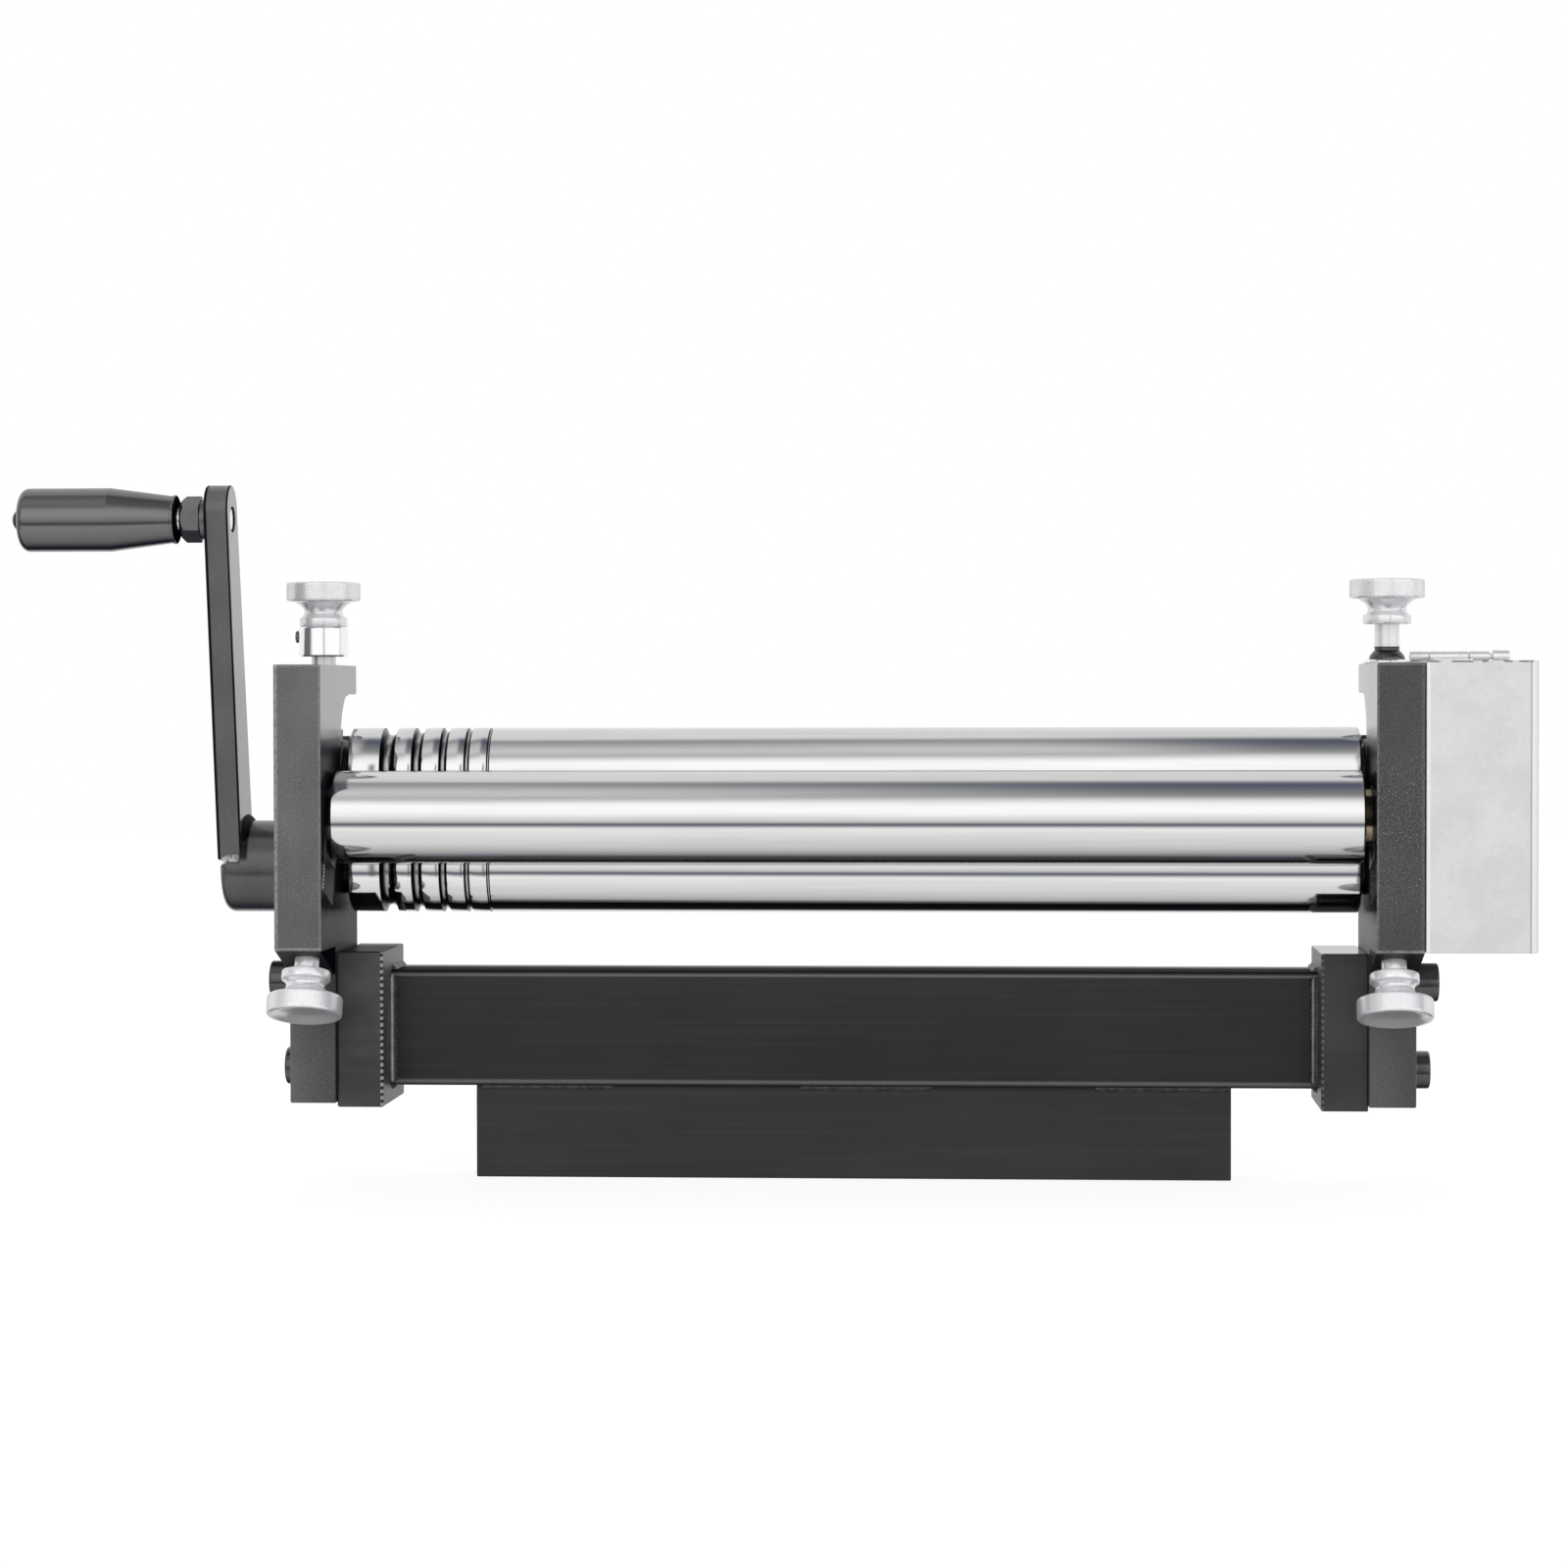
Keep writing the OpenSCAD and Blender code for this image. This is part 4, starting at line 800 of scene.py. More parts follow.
# The left plate's paint is a lit copy and the right plate's a shaded copy of the same paint: their
# difference in tone is painted light and shade.
PLATE_LEFT_LIT = PlatePaint("plate_paint_left_lit", "plate_grey")
PLATE_RIGHT_SHADED = PlatePaint("plate_paint_right_shaded", "plate_grey", tone="3d3e40", deep="333436",
                         speck="949494", specks=0.1, busy=0.9, foot="565658", smooth="a2a2a2",
                         painted_reflection_share=0.85, under="4a4a4a", lower=0.0, outer_edge_light=0.1)
BEAM_PAINT = FramePaint("beam_paint", "frame_black", tone="1a1a1c", pale="2d2d30")
BAR_PAINT = FramePaint("bar_paint", "frame_black", tone="26262a", pale="39393c", edge_highlight_share=(0.0, 0.0))
BLOCK_LEFT = FramePaint("block_paint_left", "frame_black", tone="2b2c2e", pale="5c5c5f", streaks=0.2,
                        clouds=0.95, edge_highlight_share=(0.0, 0.0), stitch_x=151.0, stitch_y=-31.0,
                        stitch_share=0.8, dull_top=0.6, top_z=75.4)
BLOCK_RIGHT = replace(BLOCK_LEFT, name="block_paint_right", tone="303033", pale="4c4c4f", clouds=0.6,
                      stitch_share=0.2, matt=-0.26, dull_top=0.0)
BEAM_BEAD = Bead("beam_bead", "weld", tone="161618", bright=0.1, ridge_xs=(-150.2, 149.4))
BAR_BEAD = Bead("bar_bead", "weld", tone="242426", bright=0.2)
# The crank's bead: the bright crests of the beads beside the arm's foot are bare metal and a painted
# highlight; the ring round the hub, above bright_z, is painted shade.
CRANK_BEAD = Bead("crank_bead", "crank_paint", tone="1c1c1e", crest="cacac8", bright=1.2, bright_z=108.0,
                  cover=0.54)
CHROME = Chrome("roller_chrome", "roller_steel")
ZINC = Steel("bright_zinc", "zinc", tone="f8f8f9", deep="e4e5e7", rough=0.13, lay=Lay.BLASTED,
             marks=0.5, relief=0.004)
SCREW_ZINC = Steel("screw_zinc", "zinc", tone="f8f8f9", deep="dcdde0", rough=0.2, lay=Lay.BLASTED,
                   marks=0.6, relief=0.012, metal=0.42)
BLOCK_STEEL = Steel("block_steel_finish", "block_steel", tone="8d8e91", deep="6a6b6e", rough=0.4,
                    lay=Lay.GROUND, relief=0.01)
GEAR_STEEL = Steel("gear_steel_finish", "gear_steel", tone="85868a", deep="5c5d60", rough=0.34,
                   relief=0.01)
KEY_STEEL = Steel("key_steel_finish", "key_steel", tone="a8a9ac", deep="88898c", rough=0.3,
                  lay=Lay.GROUND, relief=0.008)
HINGE_STEEL = Steel("hinge_steel_finish", "hinge_steel", tone="f4f4f5", deep="dcdcde", rough=0.45,
                    lay=Lay.BLASTED, relief=0.008)
OXIDE = BlackOxide("black_oxide_finish", "black_oxide")
NUT_OXIDE = BlackOxide("nut_oxide_finish", "black_oxide", tone="626264", pale="88888c", rough=0.28)
BRONZE = Bronze("bush_bronze", "bronze")
# The bending roller's bushes carry two bands of painted highlight.
BENDING_BRONZE = Bronze("bending_bush_bronze", "bronze", band_highlight_zs=((127.4, 1.8), (114.3, 3.6)))
ARM_PAINT = CrankPaint("arm_paint", "crank_paint")
# The hub's painted shade is a black, matt zone beside the arm's inner face above z 105, and it has no
# lighter side face.
HUB_PAINT = CrankPaint("hub_paint", "crank_paint", tone="48494b", deep="38393b", painted_shade_xs=(198.0, 198.0),
                       painted_shade_widths=(2.4, 1.2), painted_shade_z=105.0, lit_side_x=500.0, rough=0.12, level=0.8)
GRIP = GripPlastic("grip_gloss", "grip_plastic", tone="1c1c1e", pale="333335")
GUARD = GuardPaint("guard_paint_finish", "guard_paint")


# Surfaces

def grid_faces(rows: int, columns: int, close_rows: bool, close_columns: bool) -> np.ndarray:
    """Corner numbers of the quads of a grid.

    Args:
        rows: Number of points in the first direction.
        columns: Number of points in the second direction.
        close_rows: Whether the last row joins the first.
        close_columns: Whether the last column joins the first.

    Returns:
        One row of four point numbers for each quad.
    """
    i = np.arange(rows if close_rows else rows - 1)[:, None]
    j = np.arange(columns if close_columns else columns - 1)[None, :]
    here, right = i * columns, (j + 1) % columns
    above = ((i + 1) % rows) * columns
    return np.stack([here + j, here + right, above + right, above + j], -1).reshape(-1, 4)


@dataclass
class Surface:
    """Points in millimetres and quads that are gathered before they become one mesh."""

    points: list[np.ndarray] = field(default_factory=list)
    quads: list[np.ndarray] = field(default_factory=list)

    def add(self, points: np.ndarray, close_rows: bool = False, close_columns: bool = False) -> "Surface":
        """Adds a grid of points.

        Args:
            points: Array of rows, columns and three coordinates.
            close_rows: Whether the last row joins the first.
            close_columns: Whether the last column joins the first.

        Returns:
            This surface.
        """
        start = sum(len(p) for p in self.points)
        rows, columns = points.shape[:2]
        self.points.append(points.reshape(-1, 3))
        self.quads.append(grid_faces(rows, columns, close_rows, close_columns) + start)
        return self

    def piece(self, name: str, node: Union[str, Sequence[str]], body: str, finish: Finish,
              sharp: float = 28.0) -> bpy.types.Object:
        """Writes the gathered surface into a mesh, merges its poles and seams, and dresses it.

        Args:
            name: Name of the new piece.
            node: CAD node or nodes that the piece stands for.
            body: Body that it rides on.
            finish: Its finish.
            sharp: Angle in degrees from which an edge stays sharp.

        Returns:
            The new object.
        """
        mesh = bpy.data.meshes.new(name)
        corners = np.concatenate(self.points) * MM
        mesh.from_pydata(corners.tolist(), [], np.concatenate(self.quads).tolist())
        work = bmesh.new()
        work.from_mesh(mesh)
        bmesh.ops.remove_doubles(work, verts=work.verts, dist=MERGE)
        bmesh.ops.dissolve_degenerate(work, edges=work.edges, dist=MERGE)
        work.to_mesh(mesh)
        work.free()
        return dress(mesh, name, node, body, finish, sharp)


def dress(mesh: bpy.types.Mesh, name: str, node: Union[str, Sequence[str]], body: str, finish: Finish,
          sharp: float = 28.0) -> bpy.types.Object:
    """Turns a mesh into a finished piece that stands for CAD nodes.

    Args:
        mesh: The mesh, in metres.
        name: Name of the new piece.
        node: CAD node or nodes that it stands for.
        body: Body that it rides on.
        finish: Its finish.
        sharp: Angle in degrees from which an edge stays sharp.

    Returns:
        The new object.
    """
    mesh.materials.clear()
    mesh.materials.append(finish.material())
    mesh.shade_smooth()
    mesh.set_sharp_from_angle(angle=math.radians(sharp))
    piece = bpy.data.objects.new(name, mesh)
    bpy.context.scene.collection.objects.link(piece)
    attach(piece, body)
    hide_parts(*([node] if isinstance(node, str) else node))
    LOG.info("%s: %d faces, rides on %s", name, len(mesh.polygons), body)
    return piece


def mark(piece: bpy.types.Object, name: str, rule: Callable[[np.ndarray], np.ndarray]) -> None:
    """Stores a number at each point of a piece.

    Args:
        piece: The piece.
        name: Name under which materials find the number.
        rule: Works the numbers out from the points, one row each, in millimetres.
    """
    mesh = piece.data
    flat = np.empty(len(mesh.vertices) * 3, np.float32)
    mesh.vertices.foreach_get("co", flat)
    layer = mesh.attributes.new(name, "FLOAT", "POINT")
    layer.data.foreach_set("value", rule(flat.reshape(-1, 3) / MM).astype(np.float32))


@dataclass(frozen=True)
class BigEdge:
    """A wide rounding of the edges that lie in one plane across X and keep a distance from a line."""

    x: float
    centre: Span
    radius: float
    width: float
    steps: int = 6
    off_plane: float = 0.02
    off_circle: float = 0.05
    least_turn: float = 60.0

    def holds(self, edge: bmesh.types.BMEdge) -> bool:
        """Whether both ends of an edge lie on the circle in the plane.

        Args:
            edge: The edge.

        Returns:
            Whether it belongs to the rim and turns sharply enough.
        """
        for vert in edge.verts:
            x, y, z = vert.co / MM
            away = math.hypot(y - self.centre[0], z - self.centre[1])
            if abs(x - self.x) > self.off_plane or abs(away - self.radius) > self.off_circle:
                return False
        return edge.is_manifold and edge.calc_face_angle() > math.radians(self.least_turn)

    def round(self, work: bmesh.types.BMesh) -> None:
        """Rounds the edges that it holds.

        Args:
            work: The mesh, changed in place.
        """
        edges = [edge for edge in work.edges if self.holds(edge)]
        bmesh.ops.bevel(work, geom=edges, offset=self.width * MM, offset_type="OFFSET",
                        segments=self.steps, profile=0.5, affect="EDGES", clamp_overlap=False)
        LOG.info("big edge: %d edges", len(edges))


def soften(node: str, body: str, finish: Finish, edge: float = 0.3, steps: int = 2,
           sharp: float = 28.0, big: Optional[BigEdge] = None) -> bpy.types.Object:
    """Makes a piece from a CAD node's own shape, merged and with its edges rounded.

    Args:
        node: The CAD node.
        body: Body that it rides on.
        finish: Its finish.
        edge: Width of the rounding in millimetres; zero leaves the edges.
        steps: Number of faces across the rounding.
        sharp: Angle in degrees from which an edge counts as sharp.
        big: Edges that get a larger rounding first, if any.

    Returns:
        The new object.
    """
    work = bmesh.new()
    work.from_mesh(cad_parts[node].data)
    bmesh.ops.remove_doubles(work, verts=work.verts, dist=MERGE * 10)
    bmesh.ops.dissolve_limit(work, angle_limit=math.radians(FLAT_TURN), verts=work.verts,
                             edges=work.edges)
    if big is not None:
        big.round(work)
    mesh = bpy.data.meshes.new(node + "_dressed")
    work.to_mesh(mesh)
    work.free()
    piece = dress(mesh, node + "_dressed", node, body, finish, sharp)
    if edge:
        rounding = piece.modifiers.new("rounded edges", "BEVEL")
        rounding.width = edge * MM
        rounding.segments = steps
        rounding.limit_method = "ANGLE"
        rounding.angle_limit = math.radians(ROUNDED_TURN)
        rounding.use_clamp_overlap = False
        rounding.harden_normals = True
    return piece


@dataclass(frozen=True)
class Line:
    """Axis that a piece is turned about: a point on it, its direction, and where angle zero lies."""

    origin: Triple
    along: Triple
    side: Triple

    def spin(self, height: np.ndarray, radius: np.ndarray, angle: np.ndarray) -> np.ndarray:
        """Points round the axis: origin + height * along + radius * (cos * side + sin * (along x side)).

        Args:
            height: Heights along the axis, one for each row.
            radius: Radii, one for each row or one for each row and column.
            angle: Angles of the columns.

        Returns:
            Array of rows, columns and three coordinates.
        """
        along, side = np.array(self.along), np.array(self.side)
        across = np.cross(along, side)
        radius = radius if radius.ndim == 2 else radius[:, None] * np.ones((1, len(angle)))
        ring = np.cos(angle)[:, None] * side + np.sin(angle)[:, None] * across
        return (np.array(self.origin) + height[:, None, None] * along
                + radius[:, :, None] * ring[None, :, :])


Shape = Callable[[np.ndarray, np.ndarray, np.ndarray], np.ndarray]


def turn(line: Line, profile: Sequence[Span], columns: int = 64, closed: bool = False,
         shape: Optional[Shape] = None) -> np.ndarray:
    """Carries a profile of heights and radii round an axis.

    Args:
        line: The axis.
        profile: Height and radius of each row, in order from the axis round the outside.
        columns: Number of points in a ring.
        closed: Whether the profile joins its own start, as on a ring.
        shape: Gives the radii from heights, radii and angles, where the piece isn't round.

    Returns:
        Array of rows, columns and three coordinates.
    """
    rows = np.array(list(profile) + ([profile[0]] if closed else []), float)
    angle = np.arange(columns) * (2 * math.pi / columns)
    height, radius = rows[:, 0], rows[:, 1][:, None] * np.ones((1, columns))
    if shape is not None:
        radius = shape(height[:, None], radius, angle[None, :])
    return line.spin(height, radius, angle)


def turned_surface(line: Line, profile: Sequence[Span], columns: int = 64,
                   closed: bool = False, shape: Optional[Shape] = None) -> Surface:
    """A surface of one turned profile."""
    return Surface().add(turn(line, profile, columns, closed, shape), close_columns=True)


def arc(centre: Span, radius: float, start: float, end: float,
        steps: int) -> list[Span]:
    """Points of a circular arc: centre + radius * (cos a, sin a) for a from start to end in degrees."""
    angles = np.radians(np.linspace(start, end, steps + 1))
    return [(centre[0] + radius * math.cos(a), centre[1] + radius * math.sin(a)) for a in angles]


def hexagon(across_flats: float, angle: np.ndarray) -> np.ndarray:
    """Radius of a hexagon with a flat at angle zero: half the width over cos of the turn from the flat.

    Args:
        across_flats: Width of the hexagon.
        angle: Angles in radians.

    Returns:
        The radii.
    """
    sixth = math.pi / 3
    off = np.mod(angle + sixth / 2, sixth) - sixth / 2
    return across_flats / 2 / np.cos(off)


def flats(across_flats: float, inner: float) -> Shape:
    """Cuts six flats into the rows whose radius is above a limit.

    Args:
        across_flats: Width of the hexagon.
        inner: Largest radius that stays round, as the bore does.

    Returns:
        A shape for turn().
    """
    def shape(height: np.ndarray, radius: np.ndarray, angle: np.ndarray) -> np.ndarray:
        """Keeps the nearer of the ring and the hexagon."""
        return np.where(radius > inner, np.minimum(radius, hexagon(across_flats, angle)), radius)
    return shape


def middle(node: str) -> np.ndarray:
    """Middle of a CAD node's box, in millimetres."""
    low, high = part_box(node)
    return (np.array(low) + np.array(high)) / 2 / MM


@dataclass(frozen=True)
class Fillet:
    """A weld bead in a corner, with crescent ripples and rounded ends."""

    start: Triple
    end: Triple
    first: Triple
    second: Triple
    leg: float
    ripple: float = 1.5
    columns: int = 9
    rows_each: int = 5
    bow: float = 0.45
    swell: Span = (0.92, 0.10)
    taper_legs: float = 0.8
    end_share: float = 0.96
    bulge: float = 1.45
    sunk: float = 0.05

    def points(self) -> np.ndarray:
        """Corner + leg * (cos^p * first + sin^p * second), with a leg that swells at each ripple.

        Returns:
            Array of rows along the bead, columns round its section and three coordinates.
        """
        start, end = np.array(self.start), np.array(self.end)
        length = float(np.linalg.norm(end - start))
        rows = max(8, int(length / self.ripple * self.rows_each))
        s = np.linspace(0, 1, rows)[:, None]
        t = np.linspace(0, 1, self.columns)[None, :]
        crescent = s * length / self.ripple + self.bow * (2 * t - 1) ** 2
        swell = self.swell[0] + self.swell[1] * np.sqrt(np.abs(np.sin(math.pi * crescent)))
        taper = np.clip(np.minimum(s, 1 - s) * length / (self.taper_legs * self.leg), 0, 1)
        leg = self.leg * swell * np.sqrt(1 - (1 - taper) ** 2 * self.end_share)
        first = leg * np.cos(t * math.pi / 2) ** self.bulge
        second = leg * np.sin(t * math.pi / 2) ** self.bulge
        run = start + s[:, :, None] * (end - start)
        outside = (run + first[:, :, None] * np.array(self.first)
                   + second[:, :, None] * np.array(self.second))
        root = run - self.sunk * (np.array(self.first) + np.array(self.second))
        return np.concatenate([outside, root], 1)

    def add_to(self, surface: Surface) -> None:
        """Adds the bead with its faces outwards and its ends closed.

        Args:
            surface: Surface that gets it.
        """
        points = self.points()
        ends = [np.repeat(points[k][:1] * 0 + points[k].mean(0), points.shape[1], 0)[None] for k in (0, -1)]
        points = np.concatenate([ends[0], points, ends[1]], 0)
        run = np.array(self.end) - np.array(self.start)
        if np.dot(np.cross(np.array(self.first), np.array(self.second)), run) < 0:
            points = points[:, ::-1]
        surface.add(points, close_columns=True)


# The machine

@dataclass(frozen=True)
class Layout:
    """Places that several sub-assemblies share, as in the part's source."""

    inner_x: float = 166.0
    outer_x: float = 181.0
    front_y: float = -60.0
    top_z: float = 168.3
    pinch_y: float = -10.5
    lower_z: float = 102.4
    bend_y: float = -37.961
    bend_z: float = 119.3
    tilt: float = 19.0
    journal_d: float = 12.0

    @property
    def plate_x(self) -> float:
        """Middle of a side plate's thickness."""
        return (self.inner_x + self.outer_x) / 2


LAYOUT = Layout()


@dataclass
class Rollers:
    """The three chromed rollers, with five wire grooves in the two pinch rollers, and the clips."""

    diameter: float = 30.0
    length: float = 328.0
    pinch_shift: float = 0.4
    bend_shift: float = 0.6
    edge: float = 0.6
    groove_start: float = 13.0
    groove_widths: tuple[float, ...] = (4.8, 3.4, 2.6, 1.8, 1.0)
    groove_land: float = 5.6
    groove_lip: float = 0.12
    groove_steps: int = 12
    # Painted shade at a groove's floor; it rises to full towards the lips.
    floor_dark: float = 0.45
    journal_edge: float = 0.5
    clip_at: float = 183.3
    bend_clip_at: float = 181.3
    clip_groove: Span = (1.3, 0.8)
    tail: float = 2.6
    gear_end: float = 198.7
    crank_end: float = -198.6
    bend_end: float = -181.3
    bore: Span = (5.04, 10.0)
    columns: int = 128

    def groove_places(self, start: float) -> list[Span]:
        """Middle and width of each wire groove of a barrel that starts at the given place.

        Args:
            start: The barrel's end on the crank side.

        Returns:
            One pair for each groove.
        """
        places, place = [], start + self.groove_start
        for k, width in enumerate(self.groove_widths):
            if k:
                place += (self.groove_widths[k - 1] + width) / 2 + self.groove_land
            places.append((place, width))
        return places

    def grooves(self, start: float) -> list[Span]:
        """Heights and radii of the wire grooves: each is a half circle sunk into the barrel.

        Args:
            start: The barrel's end on the crank side.

        Returns:
            The grooves' part of the profile.
        """
        points, lip = [], self.groove_lip
        for place, width in self.groove_places(start):
            half = arc((place, self.diameter / 2), width / 2, 180, 360, self.groove_steps)
            points += [(place - width / 2 - lip, self.diameter / 2)]
            points += [(h, min(r, self.diameter / 2 - lip / 2)) for h, r in half]
            points += [(place + width / 2 + lip, self.diameter / 2)]
        return points

    def wall(self, points: np.ndarray, centre: np.ndarray) -> np.ndarray:
        """How much painted shade each point of a pinch roller's grooves gets.

        Args:
            points: Points of a pinch roller in millimetres.
            centre: Middle of the roller.

        Returns:
            0 on the barrel, and in the grooves from floor_dark at the bottom to 1 near the lips.
        """
        depth = self.diameter / 2 - np.hypot(points[:, 1] - centre[1], points[:, 2] - centre[2])
        share = np.zeros(len(points))
        for place, width in self.groove_places(-self.length / 2 + self.pinch_shift):
            off = np.abs(points[:, 0] - place) / (width / 2)
            sunk = (off < 1.02) & (depth > 0.02)
            dark = np.clip(self.floor_dark + (off - 0.2) / 0.6, self.floor_dark, 1)
            share = np.maximum(share, dark * sunk)
        return share

    def journal(self, x0: float, x1: float, clip: Optional[float]) -> list[Span]:
        """A journal from x0 to x1 with chamfered ends and its clip's groove.

        Args:
            x0: Crank side end.
            x1: Gear side end.
            clip: Where its clip's groove starts, if it has one.

        Returns:
            The journal's part of the profile.
        """
        r, edge = LAYOUT.journal_d / 2, self.journal_edge
        points = [(x0, r - edge), (x0 + edge, r)]
        if clip is not None:
            width, depth = self.clip_groove
            points += [(clip, r), (clip, r - depth), (clip + width, r - depth), (clip + width, r)]
        return points + [(x1 - edge, r), (x1, r - edge)]

    def profile(self, shift: float, x0: float, x1: float, grooved: bool,
                clips: tuple[Optional[float], Optional[float]], bored: bool) -> list[Span]:
        """A whole roller's profile from the crank side to the gear side.

        Args:
            shift: How far the barrel is moved towards the gears.
            x0: Crank side end.
            x1: Gear side end.
            grooved: Whether it has the wire grooves.
            clips: Where the clips' grooves start on the two journals.
            bored: Whether the gear side end has the end screw's bore.

        Returns:
            Heights and radii from axis to axis.
        """
        low, high = -self.length / 2 + shift, self.length / 2 + shift
        big, small, edge = self.diameter / 2, LAYOUT.journal_d / 2, self.edge
        left, right = self.journal(x0, low, clips[0])[:-2], self.journal(high, x1, clips[1])[2:]
        barrel = [(low, small), (low, big - edge), (low + edge, big)]
        barrel += self.grooves(low) if grooved else []
        barrel += [(high - edge, big), (high, big - edge), (high, small)]
        end = [(x1, 0.0)]
        if bored:
            bore_r, bore_len = self.bore[0] / 2, self.bore[1]
            end = [(x1, bore_r), (x1 - bore_len, bore_r), (x1 - bore_len, 0.0)]
        return [(x0, 0.0)] + left + barrel + right + end

    def make(self) -> None:
        """Builds the rollers and their clips."""
        left_clip = -self.clip_at - self.clip_groove[0]
        upper_end, bend_tail = -self.clip_at - self.tail, self.bend_clip_at + self.tail
        rows = (
            ("upper_roller", "upper_roll", self.pinch_shift, upper_end, self.gear_end, True,
             (left_clip, None), True),
            ("lower_roller", "lower_roll", self.pinch_shift, self.crank_end, self.gear_end, True,
             (None, None), True),
            ("bending_roller", "bending_roll", -self.bend_shift, self.bend_end, bend_tail, False,
             (None, self.bend_clip_at), False))
        for node, body, *sizes in rows:
            centre = middle(node)
            line = Line((0.0, centre[1], centre[2]), (1.0, 0.0, 0.0), (0.0, 1.0, 0.0))
            surface = turned_surface(line, self.profile(*sizes), self.columns)
            piece = surface.piece(node + "_turned", node, body, CHROME)
            # The pinch rollers keep their painted shade in the grooves at the points.
            if node != "bending_roller":
                mark(piece, "wall", lambda points, centre=centre: self.wall(points, centre))
        soften("upper_roller_clip", "upper_roll", OXIDE, 0.15)
        soften("bending_roller_clip", "bending_roll", OXIDE, 0.15)


@dataclass
class ThumbScrews:
    """Four thumb screws with knurled heads, the stop collar with its grub, and the lock nut."""

    screw_d: float = 8.0
    pitch: float = 1.25
    thread_depth: float = 0.4
    shank: float = 14.0
    head_d: float = 24.1
    head_h: float = 6.3
    neck_h: float = 5.2
    waist_d: float = 12.4
    collar_d: float = 15.6
    collar_h: float = 3.1
    head_edge: float = 0.7
    knurl_depth: float = 0.10
    knurls: int = 70
    knurl_lead: float = 1.1
    knurl_slope: float = 2.2
    collar_edge: float = 0.45
    flat_share: float = 0.8
    dish: Triple = (2.2, 2.6, 1.2)
    dish_depths: Span = (0.15, 0.4)
    tip_edge: float = 0.3
    stem_edge: float = 0.6
    stem_sunk: float = 0.4
    rows_per_turn: int = 8
    thread_curve: float = 0.7
    stem_show: float = 12.7
    upper_stem: float = 33.5
    bend_stem: float = 35.998
    bend_collar_at: float = 50.698
    bend_x: float = 172.2
    bend_offset: float = 3.0
    tip: tuple[float, float, float, float] = (4.4, 2.2, 6.6, 2.4)
    sleeve_d: float = 16.4
    sleeve_h: float = 9.8
    sleeve_edge: float = 0.5
    sleeve_play: float = 0.02
    grub_d: float = 4.0
    grub_len: float = 3.6
    grub_edge: float = 0.3
    grub_proud: float = 0.9
    grub_up: float = 6.5
    grub_socket: Triple = (2.0, 1.15, 1.7)
    nut_d: float = 12.0
    nut_af: float = 11.4
    nut_h: float = 4.4
    nut_dome: Triple = (0.15, 4.0, 4.2)
    nut_play: float = 0.05
    mouth: Span = (0.5, 0.6)
    washer_d: float = 15.4
    washer_t: float = 1.2
    washer_edge: float = 0.2
    washer_bevel: Span = (0.4, 0.5)
    washer_play: float = 0.2

    def knurl(self, height: np.ndarray, radius: np.ndarray, angle: np.ndarray) -> np.ndarray:
        """Sinks two crossing sets of V grooves into the rim: depth * (1 - nearer groove's distance).

        Args:
            height: Heights of the rows.
            radius: Radii before the cut.
            angle: Angles of the columns.

        Returns:
            The radii with the knurling.
        """
        low = self.collar_h + self.neck_h + self.head_edge
        high = self.collar_h + self.neck_h + self.head_h - self.head_edge
        turns = angle * self.knurls / (2 * math.pi)
        lead = height / self.knurl_lead
        first = np.abs(np.mod(turns + lead, 1.0) - 0.5) * 2
        second = np.abs(np.mod(turns - lead, 1.0) - 0.5) * 2
        groove = 1 - np.clip(np.minimum(first, second) * self.knurl_slope, 0, 1)
        rim = ((height > low - 1e-6) & (height < high + 1e-6)).astype(float)
        return radius - self.knurl_depth * groove * rim

    def head(self) -> list[Span]:
        """Profile of collar, waist and head, from the collar's face to the head's top.

        Returns:
            Heights and radii.
        """
        head_r, collar_r, waist_r = self.head_d / 2, self.collar_d / 2, self.waist_d / 2
        head_z = self.collar_h + self.neck_h
        top = head_z + self.head_h
        waist_z = self.collar_h + self.neck_h / 3
        flare = (collar_r - waist_r) / 2
        edge, rim_edge = self.collar_edge, self.head_edge
        profile = [(0.0, 0.0), (0.0, collar_r - edge)]
        profile += arc((edge, collar_r - edge), edge, 180, 90, 3)[1:]
        profile += [(self.collar_h - edge, collar_r)]
        profile += arc((self.collar_h - edge, collar_r - edge), edge, 90, 0, 3)[1:]
        for s in np.linspace(0, 1, 7):
            profile.append((self.collar_h + (waist_z - self.collar_h) * s,
                            waist_r + flare * (1 - math.sin(math.pi / 2 * s))))
        for s in np.linspace(0, 1, 9)[1:]:
            profile.append((waist_z + (head_z - waist_z) * s,
                            waist_r + (head_r * self.flat_share - waist_r) * s * s))
        profile += [(head_z, head_r - rim_edge)]
        profile += arc((head_z + rim_edge, head_r - rim_edge), rim_edge, 180, 90, 3)[1:-1]
        rim = np.linspace(head_z + rim_edge, top - rim_edge, 15)
        profile += [(float(h), head_r) for h in rim]
        profile += arc((top - rim_edge, head_r - rim_edge), rim_edge, 90, 0, 3)[1:]
        brim, slope, centre_r = self.dish
        shallow, deep = self.dish_depths
        return profile + [(top, head_r - brim), (top - shallow, head_r - slope),
                          (top - shallow, centre_r), (top - deep, 0.0)]

